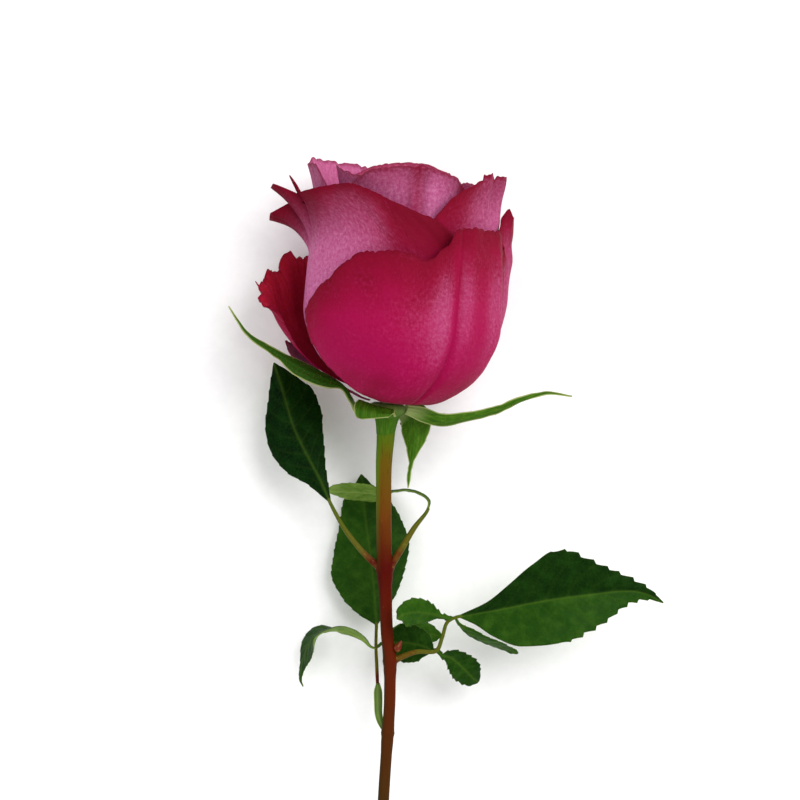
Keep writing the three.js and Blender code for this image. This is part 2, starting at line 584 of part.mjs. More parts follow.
addBlade("lower_leaf_left", {
  midrib: offsets(lower, [[-4.2, 21.4, -5], [-6.8, 23.8, -4], [-10.7, 25.6, -3.2], [-14, 25.7, -3.4],
    [-17.5, 24.8, -4.6], [-20, 21.6, -6.6], [-21.6, 17, -9.2], [-22.4, 12.6, -11.8], [-21.8, 10.6, -13]]),
  left: [[0, 0.4], [0.12, 3], [0.35, 4.8], [0.6, 4.2], [0.8, 1.6], [1, 0.15]],
  twist: [[0, 112], [0.25, 108], [0.42, 84], [0.6, 62], [1, 55]],
}, 12);
addBlade("lower_leaf_right", {
  midrib: offsets(lower, [[-1.6, 22, -6.4], [2, 23.4, -8.4], [7, 24.2, -10.4], [11.6, 24, -11.8],
    [14, 23.4, -12.2]]),
  left: [[0, 0.4], [0.3, 3], [0.65, 3.6], [0.9, 1.6], [1, 0.15]],
}, 6);

// ---------------------------------------------------------------- the part's own frame
// The origin is on the table, under the middle of the whole flower.
const bounds = new THREE.Box3().setFromObject(rose, true);
const middleOfBounds = bounds.getCenter(v3(0, 0, 0));
rose.position.set(-middleOfBounds.x, -middleOfBounds.y, -bounds.min.z);

export default rose;
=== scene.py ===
import bpy
import numpy as np
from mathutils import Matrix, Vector


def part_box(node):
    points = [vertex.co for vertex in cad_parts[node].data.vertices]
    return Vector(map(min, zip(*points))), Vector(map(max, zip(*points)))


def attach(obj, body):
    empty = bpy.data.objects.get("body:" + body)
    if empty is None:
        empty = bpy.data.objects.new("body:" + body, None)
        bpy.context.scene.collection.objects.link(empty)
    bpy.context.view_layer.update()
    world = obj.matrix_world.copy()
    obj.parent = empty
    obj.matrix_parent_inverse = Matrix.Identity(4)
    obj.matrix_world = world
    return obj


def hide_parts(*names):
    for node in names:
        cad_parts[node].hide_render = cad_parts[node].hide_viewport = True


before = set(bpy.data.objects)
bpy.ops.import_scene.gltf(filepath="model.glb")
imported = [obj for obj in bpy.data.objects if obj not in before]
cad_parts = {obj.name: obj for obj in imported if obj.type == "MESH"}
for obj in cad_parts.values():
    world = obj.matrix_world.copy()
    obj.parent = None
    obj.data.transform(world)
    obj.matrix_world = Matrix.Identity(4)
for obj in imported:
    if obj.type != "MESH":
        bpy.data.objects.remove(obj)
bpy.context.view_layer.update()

# ---------------------------------------------------------------- hip
# The hip is the swollen top of the stem, of firm green flesh, and carries the sepals and petals.
# Its skin is waxy and faintly ribbed, and it narrows into the stem's neck without a seam.
MM = 0.001
CUP_RADIUS = 27.0
HIP_LENGTH = 8.0
HIP_RADIUS = 4.6
NECK_RADIUS = 1.95
CUT_END_RADIUS = 1.75
STEM_LENGTH = 238.0
BELLY_SINK = 2.85  # how far the soft cup flattens where it lies on the table
AXIS_HEIGHT = CUP_RADIUS - BELLY_SINK  # of the bloom's axis above the table, at its belly
BELLY_HEIGHT = 22.0
SLOPE = np.arctan2(AXIS_HEIGHT - CUT_END_RADIUS, STEM_LENGTH + BELLY_HEIGHT)
LEAN = np.radians(4.5)
HIP_CENTRE_Z = AXIS_HEIGHT - BELLY_HEIGHT * np.sin(SLOPE)

bloom_axis = np.array([np.sin(LEAN) * np.cos(SLOPE), np.cos(LEAN) * np.cos(SLOPE), np.sin(SLOPE)])
bloom_right = np.array([np.cos(LEAN), -np.sin(LEAN), 0.0])
bloom_front = np.cross(bloom_right, bloom_axis)
bloom_base = np.array([0.0, 0.0, HIP_CENTRE_Z])


def bloom_point(radius, angle, height):
    """Points at a radius, an angle in radians from the front towards the right, and a height up the axis."""
    radius, angle, height = (np.asarray(x, float)[..., None] for x in (radius, angle, height))
    across = bloom_right * np.sin(angle) + bloom_front * np.cos(angle)
    return bloom_base + bloom_axis * height + across * radius


def along(keys, x):
    """Smooth value at x through [x, value] pairs, which never overshoots them."""
    keys = np.asarray(keys, float)
    at, value = keys[:, 0], keys[:, 1]
    x = np.clip(np.asarray(x, float), at[0], at[-1])
    slope = np.diff(value) / np.diff(at)
    before, after = slope[:-1], slope[1:]
    same = before * after > 0
    turn = np.where(same, 2 * before * after / np.where(same, before + after, 1), 0)
    tangent = np.concatenate([slope[:1], turn, slope[-1:]])
    i = np.clip(np.searchsorted(at, x, side="right") - 1, 0, len(at) - 2)
    width, rise = at[i + 1] - at[i], value[i + 1] - value[i]
    t = (x - at[i]) / width
    a, b = tangent[i] * width - rise, rise - tangent[i + 1] * width
    return (1 - t) * value[i] + t * value[i + 1] + t * (1 - t) * ((1 - t) * a + t * b)


def turned_shape(profile, axis, foot, sides):
    """Points and faces of a [radius, height] profile turned round an axis, closed at both ends."""
    side = np.cross(axis, [0.0, 0.0, 1.0])
    side /= np.linalg.norm(side)
    other = np.cross(side, axis)
    turn = 2 * np.pi * np.arange(sides) / sides
    ring = np.cos(turn)[:, None] * side + np.sin(turn)[:, None] * other
    rows = [foot + axis * h + ring * r for r, h in profile]
    points = np.concatenate([[foot + axis * profile[0][1]], *rows, [foot + axis * profile[-1][1]]])
    faces = []
    for j in range(sides):
        k = (j + 1) % sides
        faces.append((0, 1 + j, 1 + k))
        for i in range(len(rows) - 1):
            a, b = 1 + i * sides, 1 + (i + 1) * sides
            faces.append((a + j, b + j, b + k, a + k))
        last = 1 + (len(rows) - 1) * sides
        faces.append((last + j, len(points) - 1, last + k))
    return points, faces


hip_profile = [
    [NECK_RADIUS + 0.35, -HIP_LENGTH], [NECK_RADIUS + 0.75, -5.4], [NECK_RADIUS + 1.3, -3.6],
    [HIP_RADIUS - 0.3, -2.3], [HIP_RADIUS, -1.5], [HIP_RADIUS - 0.3, -0.7], [HIP_RADIUS - 0.9, -0.3],
]
PACKED_HIP_SIDES = 16
packed_low, packed_high = (np.array(corner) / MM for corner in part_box("hip"))
outline = turned_shape(hip_profile, bloom_axis, bloom_base, PACKED_HIP_SIDES)[0]
# From the flower's own frame, with its bloom's base over the origin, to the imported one.
SHIFT = (packed_low + packed_high) / 2 - (outline.min(0) + outline.max(0)) / 2


def new_object(name, data):
    """An object at the origin, in the scene."""
    thing = bpy.data.objects.new(name, data)
    bpy.context.scene.collection.objects.link(thing)
    return thing


def write_marks(mesh, marks):
    """Stores a value or a vector at each point of a mesh, for its finish to read."""
    for mark, values in marks.items():
        values = np.asarray(values, np.float32)
        kind, field = ("FLOAT_VECTOR", "vector") if values.ndim == 2 else ("FLOAT", "value")
        mesh.attributes.new(mark, kind, "POINT").data.foreach_set(field, values.ravel())


def make_piece(name, points, faces, marks, finish):
    """A smooth piece from points in millimetres, with its marks and its finish."""
    mesh = bpy.data.meshes.new(name)
    faces = faces.tolist() if isinstance(faces, np.ndarray) else faces
    mesh.from_pydata(((points + SHIFT) * MM).tolist(), [], faces)
    write_marks(mesh, marks)
    mesh.shade_smooth()
    mesh.update()
    if finish:
        mesh.materials.append(finish)
    return new_object(name, mesh)


def place(piece, slot, *nodes):
    """Fixes a piece to the flower's one body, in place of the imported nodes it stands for."""
    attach(piece, "root")
    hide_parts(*nodes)


def colour(red, green, blue):
    """The paint's own colour, from the 0 to 255 values it shows under white light."""
    share = np.array([red, green, blue]) / 255
    linear = np.where(share <= 0.04045, share / 12.92, ((share + 0.055) / 1.055) ** 2.4)
    return (*linear.tolist(), 1.0)


def add_node(tree, kind, inputs=None, **settings):
    """A node with its settings, and each input linked to a socket or set to a value."""
    node = tree.nodes.new(kind)
    for name, value in settings.items():
        setattr(node, name, value)
    for key, value in (inputs or {}).items():
        if isinstance(value, bpy.types.NodeSocket):
            tree.links.new(value, node.inputs[key])
        else:
            node.inputs[key].default_value = value
    return node


def maths(tree, operation, *values, clamp=False):
    inputs = dict(enumerate(values))
    return add_node(tree, "ShaderNodeMath", inputs, operation=operation, use_clamp=clamp).outputs[0]


def blend_colours(tree, share, first, second):
    """The first colour turning into the second, which may be three numbers, as the share goes to 1."""
    second = colour(*second) if isinstance(second, tuple) else second
    return add_node(tree, "ShaderNodeMix", {0: share, 6: first, 7: second}, data_type="RGBA").outputs[2]


def colours_by(tree, share, stops):
    """A run of colours along a share, from stops of a position and a colour's three numbers."""
    ramp = add_node(tree, "ShaderNodeValToRGB", {0: share})
    elements = ramp.color_ramp.elements
    while len(elements) < len(stops):
        elements.new(1.0)
    for element, (position, *paint) in zip(elements, stops):
        element.position, element.color = position, colour(*paint)
    return ramp.outputs[0]


def mark_value(tree, name, output="Fac"):
    return add_node(tree, "ShaderNodeAttribute", attribute_name=name).outputs[output]


def varied(tree, value, noise, amount):
    """A value made uneven by noise, which swings round one half."""
    swing = maths(tree, "MULTIPLY", maths(tree, "SUBTRACT", noise, 0.5), amount)
    return maths(tree, "ADD", value, swing)


def between(tree, value, low, high, share_low=0.0, share_high=1.0):
    """Share of the way from low to high, eased at both ends."""
    inputs = {"Value": value, "From Min": low, "From Max": high, "To Min": share_low, "To Max": share_high}
    return add_node(tree, "ShaderNodeMapRange", inputs, interpolation_type="SMOOTHSTEP").outputs[0]


def grain(tree, where, scale, detail=4.0, stretch=None, roughness=0.6, distortion=0.0):
    """Noise from 0 to 1 at a scale, drawn out along some axes if it is stretched."""
    if stretch:
        where = add_node(tree, "ShaderNodeMapping", {"Vector": where, "Scale": stretch}).outputs[0]
    inputs = {
        "Vector": where, "Scale": scale, "Detail": detail, "Roughness": roughness,
        "Distortion": distortion,
    }
    return add_node(tree, "ShaderNodeTexNoise", inputs).outputs[0]


def new_finish(name, roughness, gloss=0.5):
    """A material, its node tree and its one shader, with constant values on the shader's own sockets."""
    finish = bpy.data.materials.new(name)
    finish.use_nodes = True
    shader = finish.node_tree.nodes["Principled BSDF"]
    shader.inputs["Roughness"].default_value = roughness
    shader.inputs["Specular IOR Level"].default_value = gloss
    return finish, finish.node_tree, shader


def spot_on_flower(tree):
    return add_node(tree, "ShaderNodeTexCoord").outputs["Object"]


def finish_surface(tree, shader, paint, height, strength, depth, roughness=None):
    """Gives the shader its colour, a relief of a depth in millimetres, and perhaps an uneven gloss."""
    tree.links.new(paint, shader.inputs["Base Color"])
    inputs = {"Height": height, "Strength": strength, "Distance": depth * MM}
    bump = add_node(tree, "ShaderNodeBump", inputs)
    tree.links.new(bump.outputs[0], shader.inputs["Normal"])
    if roughness is not None:
        tree.links.new(roughness, shader.inputs["Roughness"])


# Green flesh: yellow-green skin with darker lengthwise streaks and fine grain.
calyx_skin, tree, shader = new_finish("calyx_skin", 0.45, 0.05)
lay = mark_value(tree, "lay", "Vector")
streaks = grain(tree, lay, 1.0, 5.0, (1.6, 0.35, 1.0))
spots = grain(tree, lay, 2.6, 3.0)
flesh = colours_by(tree, streaks, [
    (0.3, 44, 80, 10), (0.5, 56, 95, 15), (0.7, 78, 112, 27),
])
flesh = blend_colours(tree, between(tree, mark_value(tree, "inside"), 0.2, 0.8), flesh, colours_by(
    tree, spots, [(0.3, 26, 60, 8), (0.65, 50, 88, 16)]))
flesh = blend_colours(tree, between(tree, mark_value(tree, "edge"), 0.32, 0.08, 0.0, 0.7), flesh,
                      (178, 186, 118))
flesh = blend_colours(tree, mark_value(tree, "pale"), flesh, (186, 198, 128))
finish_surface(tree, shader, flesh, maths(tree, "ADD", streaks, spots), 0.35, 0.12)

HIP_SIDES, HIP_ROWS = 60, 46
HIP_RIBS, HIP_RIB_DEPTH = 5, 0.035
heights = np.linspace(-HIP_LENGTH - 0.2, -0.3, HIP_ROWS)
hip_curve = [[h, r] for r, h in hip_profile]
fine_profile = [[float(along(hip_curve, h)), h] for h in heights]
hip_points, hip_faces = turned_shape(fine_profile, bloom_axis, bloom_base, HIP_SIDES)
out = hip_points - bloom_base
level = out @ bloom_axis
out -= level[:, None] * bloom_axis
round_angle = np.arctan2(out @ bloom_right, out @ bloom_front)
ribs = 1 + HIP_RIB_DEPTH * np.cos(HIP_RIBS * round_angle) * np.clip((level + 7) / 4, 0, 1)
hip_points += out * (ribs - 1)[:, None]
hip_marks = {
    "lay": np.stack([round_angle * HIP_RADIUS, level, 0 * level], 1),
    "inside": 0 * level,
    "edge": 0 * level + 5,
    "pale": 0.25 * np.clip((level + 4) / 4, 0, 1),
}
hip = make_piece("hip_flesh", hip_points, hip_faces, hip_marks, calyx_skin)
place(hip, "calyx", "hip")

# ---------------------------------------------------------------- outer petals
# Each petal is one thin velvety blade that grows from the hip on a narrow claw and cups the ones inside
# it. The flesh is thickest at the claw, and the rim is thin, darker and a little frayed.
BLOOM_HEIGHT = 60.0
OUTER_PROFILE = np.array([
    [0, 4.5, 0.4], [0.12, 0.46 * CUP_RADIUS, 0.9], [0.237, 0.735 * CUP_RADIUS, 5.2],
    [0.354, 0.91 * CUP_RADIUS, 12], [0.486, CUP_RADIUS, 0.35 * BLOOM_HEIGHT],
    [0.633, 0.99 * CUP_RADIUS, 0.525 * BLOOM_HEIGHT], [0.79, 0.955 * CUP_RADIUS, 0.71 * BLOOM_HEIGHT],
    [1, 0.92 * CUP_RADIUS, 0.96 * BLOOM_HEIGHT], [1.12, 0.91 * CUP_RADIUS, 1.1 * BLOOM_HEIGHT],
])
HEART_RADIUS = 2.4
HEART_PROFILE = np.array([
    [0, 0.7, 4.6], [0.12, 0.6 * HEART_RADIUS, 9], [0.237, 0.8 * HEART_RADIUS, 14.5],
    [0.354, 0.92 * HEART_RADIUS, 21.5], [0.486, HEART_RADIUS, 0.48 * BLOOM_HEIGHT],
    [0.633, HEART_RADIUS, 0.6 * BLOOM_HEIGHT], [0.79, 0.9 * HEART_RADIUS, 0.75 * BLOOM_HEIGHT],
    [1, 0.8 * HEART_RADIUS, 0.96 * BLOOM_HEIGHT], [1.12, 0.8 * HEART_RADIUS, 1.1 * BLOOM_HEIGHT],
])
BROAD_CLAW = [[0, 0.36], [0.12, 0.62], [0.3, 0.93], [0.45, 1], [1.2, 1]]
NARROW_CLAW = [[0, 0.28], [0.12, 0.42], [0.27, 0.8], [0.42, 1], [1.2, 1]]
TUCK = [[0, 0], [0.14, 1], [0.3, 0.9], [0.55, 0]]
EVEN = [[-1, 0], [1, 0]]
FLAT = [[-1, 1], [1, 1]]
ROUND_RIM = [[-1, 0.78], [-0.75, 0.91], [-0.35, 0.98], [0, 1], [0.35, 0.98], [0.75, 0.91], [1, 0.78]]
PRESS_HEIGHT, PRESS_SHARE = 3.0, 0.66  # below that height, a petal keeps that share of its drop
SETTLE = 0.4  # under this height above the table, the flesh is pressed until it clears the table
LAYER_NARROWING = 0.9
SIDE_LIFT = 2.4  # how much higher the cup's left side has settled
DENT_DEPTH = 0.1
CLAW_THICKNESS, RIM_THICKNESS = 0.55, 0.24


def ease(x):
    """From 0 to 1 as x does, slow at both ends."""
    x = np.clip(x, 0, 1)
    return x * x * (3 - 2 * x)


def wave(x, spacing, seed):
    """Smooth random wave from -1 to 1, with a new value every spacing."""
    count, start = 512, 200
    values = np.random.default_rng(seed).uniform(-1, 1, count)
    at = np.asarray(x, float) / spacing + start
    i = np.floor(at).astype(int)
    t = ease(at - i)
    return values[i % count] * (1 - t) + values[(i + 1) % count] * t


def profile_at(layer, share):
    """Radius and height of a layer's side profile at a share of the way up it."""
    found = []
    for column in (1, 2):
        outer = along(OUTER_PROFILE[:, [0, column]], share)
        heart = along(HEART_PROFILE[:, [0, column]], share)
        found.append(outer * (1 - layer) + heart * layer)
    return found


def frayed(x, seed, size):
    """How far a petal's edge stands in or out, in millimetres, at x millimetres along it."""
    slow = 0.55 * wave(x, 7.5, seed) + 0.3 * wave(x, 2.7, seed + 1)
    nicks = np.clip(wave(x, 1.1, seed + 2) - 0.35, 0, 1)
    scallops = 0.55 * (np.abs(wave(x, 1.6, seed + 4)) - 0.4)
    return size * (slow + scallops + 0.1 * wave(x, 0.8, seed + 3) - 0.6 * nicks)


def petal_span(petal):
    """Half a petal's width round the cup, in millimetres."""
    return np.radians(petal["half"]) * CUP_RADIUS * (1 - LAYER_NARROWING * petal["layer"])


def petal_skin(petal, columns, rows):
    """The petal's middle surface as grids of radius, angle and height, with the grid's u and v."""
    u = np.linspace(-1, 1, columns + 1)
    v = np.linspace(0, 1, rows + 1)
    layer, seed = petal["layer"], petal["seed"]
    half = np.radians(petal["half"])
    rim = along(petal["rim"], u) * BLOOM_HEIGHT + frayed(u * petal_span(petal), seed, petal["fray"])
    reach = np.stack([profile_at(layer, OUTER_PROFILE[:, 0])[1], OUTER_PROFILE[:, 0]], 1)
    top = along(reach, rim)
    share = v[:, None] * top[None, :]
    tucked = layer + petal["tuck"] * along(TUCK, share)
    r, h = profile_at(tucked, share)
    opening = np.radians(along(petal["open"], u))[None, :]
    rolling = np.radians(along(petal["roll"], u))[None, :]
    rolled = np.clip((v - 1 + petal["roll_length"]) / petal["roll_length"], 0, None)[:, None]
    bend = (opening * ease(v / 0.45)[:, None] + rolling * rolled**1.5)[1:]
    dr, dh = np.diff(r, axis=0), np.diff(h, axis=0)
    radius = np.vstack([r[:1], r[:1] + np.cumsum(dr * np.cos(bend) + dh * np.sin(bend), 0)])
    height = np.vstack([h[:1], h[:1] + np.cumsum(dh * np.cos(bend) - dr * np.sin(bend), 0)])
    spread = half * along(petal["claw"], share)
    sides = frayed(v * 60 + 90, seed + 5, 0.8 * petal["fray"])[:, None] / np.maximum(radius, 4)
    spread = spread + sides * np.abs(u)[None, :] ** 6
    return radius, np.radians(petal["angle"]) + spread * u[None, :], height, u, v


def settled(radius, angle, height):
    """Height up the axis once the cup has settled: its left side sits a little higher than its right."""
    leftward = ease((5 - radius * np.sin(angle)) / 20) * ease((radius - 4) / 8)
    return height + SIDE_LIFT * leftward * (1 - ease((height - 4) / 24))


def petal_dents(petal, u, v, arc_u, arc_v):
    """How far the skin stands out from its smooth shape, in millimetres: creases, folds and ruffles."""
    seed = petal["seed"] + 20
    free = ease((v - 0.55) / 0.45)
    ruffle = wave(arc_u, 6.0, seed) + 0.5 * wave(arc_u + 0.3 * arc_v, 2.6, seed + 1)
    stand = petal["ruffle"] * free * ruffle
    stand = stand + petal["ripple"] * free * wave(arc_v, 5.5, seed + 6)
    stand = stand + DENT_DEPTH * wave(arc_u, 3.1, seed + 2) * wave(arc_v, 11.0, seed + 3)
    for u_low, u_high, height, width, start in petal["creases"]:
        line = along([[start, u_low], [1, u_high]], v) if start < 1 else u_low
        off = (u - line) * petal_span(petal) / width
        stand = stand + height * np.exp(-off * off) * ease((v - start) / 0.25)
    return stand


def closed_sheet(middle, thickness, marks, stand=0.0):
    """Points, faces and marks of a thin closed sheet: its outer face comes first, then its inner one."""
    rows, columns = middle.shape[0] - 1, middle.shape[1] - 1
    normal = np.cross(np.gradient(middle, axis=1), np.gradient(middle, axis=0))
    normal /= np.maximum(np.linalg.norm(normal, axis=2, keepdims=True), 1e-9)
    middle = middle + normal * np.asarray(stand)[..., None] if np.ndim(stand) else middle
    half = normal * (np.broadcast_to(thickness, middle.shape[:2]) / 2)[..., None]
    points = np.concatenate([(middle + half).reshape(-1, 3), (middle - half).reshape(-1, 3)])
    front = np.arange((rows + 1) * (columns + 1)).reshape(rows + 1, columns + 1)
    back = front + front.size
    quads = [
        (front[:-1, :-1], front[:-1, 1:], front[1:, 1:], front[1:, :-1]),
        (back[:-1, :-1], back[1:, :-1], back[1:, 1:], back[:-1, 1:]),
        (back[0, :-1], back[0, 1:], front[0, 1:], front[0, :-1]),
        (front[-1, :-1], front[-1, 1:], back[-1, 1:], back[-1, :-1]),
        (back[:-1, 0], front[:-1, 0], front[1:, 0], back[1:, 0]),
        (front[:-1, -1], back[:-1, -1], back[1:, -1], front[1:, -1]),
    ]
    faces = np.concatenate([np.stack([c.ravel() for c in q], 1) for q in quads])
    both = {}
    for name, values in marks.items():
        flat = values.reshape(-1, 3) if values.ndim == 3 else values.ravel()
        both[name] = np.concatenate([flat, flat])
    both["inside"] = np.repeat([0.0, 1.0], front.size)
    return points, faces, both


# Velvet: crimson flesh with a pale mottle of tiny cells that also serves as painted glints, lengthwise
# fibres, lilac blush that also carries painted highlights and painted shade, and a dark rim.
petal_velvet, tree, shader = new_finish("petal_velvet", 0.52, 0.03)
shader.inputs["Sheen Weight"].default_value = 0.02
shader.inputs["Sheen Roughness"].default_value = 0.4
shader.inputs["Sheen Tint"].default_value = colour(255, 120, 190)
lay = mark_value(tree, "lay", "Vector")
rise, edge, blush = (mark_value(tree, name) for name in ("rise", "edge", "blush"))
clouds = grain(tree, lay, 0.11, 3.0)
mottle = grain(tree, lay, 1.1, 7.0, roughness=0.72)
fibres = grain(tree, lay, 1.0, 6.0, (1.6, 0.6, 1.0), 0.65, 0.8)
cells = grain(tree, lay, 5.0, 2.0)
climb = varied(tree, rise, clouds, 0.35)
outer = colours_by(tree, climb, [
    (0.0, 180, 150, 104), (0.06, 128, 32, 52), (0.14, 114, 6, 38),
    (0.3, 138, 8, 56), (0.5, 151, 10, 68), (0.68, 147, 10, 62),
    (0.84, 132, 8, 46), (1.0, 110, 7, 28),
])
speckle = maths(tree, "ADD", maths(tree, "MULTIPLY", mottle, 0.7), maths(tree, "MULTIPLY", fibres, 0.3))
# Pale pink cells in soft clouds: partly the velvet's own pale mottle, partly painted glints on its papillae.
pale_cells_and_glints = between(tree, speckle, 0.46, 0.68)
bloomed = between(tree, clouds, 0.42, 0.62, 0.02, 0.34)
outer = blend_colours(tree, maths(tree, "MULTIPLY", pale_cells_and_glints, bloomed), outer, (178, 38, 100))
deep_cells = between(tree, speckle, 0.47, 0.3)
outer = blend_colours(tree, maths(tree, "MULTIPLY", deep_cells, 0.35), outer, (102, 2, 34))
# The blush mark mixes in lilac: the petals' own paler colour, painted highlights along the front petal's
# ridges, and painted shade where it is kept low on shaded sides.
lilac = colours_by(tree, speckle, [
    (0.3, 170, 70, 128), (0.5, 190, 104, 152), (0.7, 208, 136, 174)])
uneven = varied(tree, blush, speckle, 0.7)
lilac_share = maths(tree, "MULTIPLY", uneven, between(tree, blush, 0.0, 0.2), clamp=True)
outer = blend_colours(tree, lilac_share, outer, lilac)
inner = colours_by(tree, speckle, [
    (0.3, 142, 14, 24), (0.5, 156, 20, 42), (0.7, 166, 28, 72)])
inner = blend_colours(tree, mark_value(tree, "bright"), inner, lilac)
paint = blend_colours(tree, mark_value(tree, "inside"), outer, inner)
# The flush mark darkens a rim: its own deep crimson where it rolls over, and painted shade where it lies in
# shade.
flush = mark_value(tree, "flush")
paint = blend_colours(tree, flush, paint, (102, 7, 28))
frayed_edge = varied(tree, edge, mottle, 1.8)
rim_share = between(tree, frayed_edge, 1.4, 0.1, 0.0, 0.6)
paint = blend_colours(tree, rim_share, paint, (104, 6, 30))
relief = maths(tree, "ADD", maths(tree, "MULTIPLY", fibres, 1.6), maths(tree, "ADD", mottle, cells))
finish_surface(tree, shader, paint, relief, 0.4, 0.12, between(tree, speckle, 0.3, 0.7, 0.62, 0.46))


def petal(name, layer, angle, half, rim, **more):
    """One petal's facts: its layer, the way it faces, half its spread in degrees, its rim and more."""
    facts = {
        "claw": NARROW_CLAW, "open": EVEN, "roll": EVEN, "roll_length": 0.22, "tuck": 0.0, "fray": 0.5,
        "ruffle": 0.16, "ripple": 0.0, "creases": [], "blush": ([[0, 0.0], [1, 0.0]], FLAT),
        "flush": ([[0, 0.0], [1, 0.0]], FLAT), "columns": 96, "bright": 0.0, "pulls": [],
    }
    return {**facts, "name": name, "layer": layer, "angle": angle, "half": half, "rim": rim, **more}


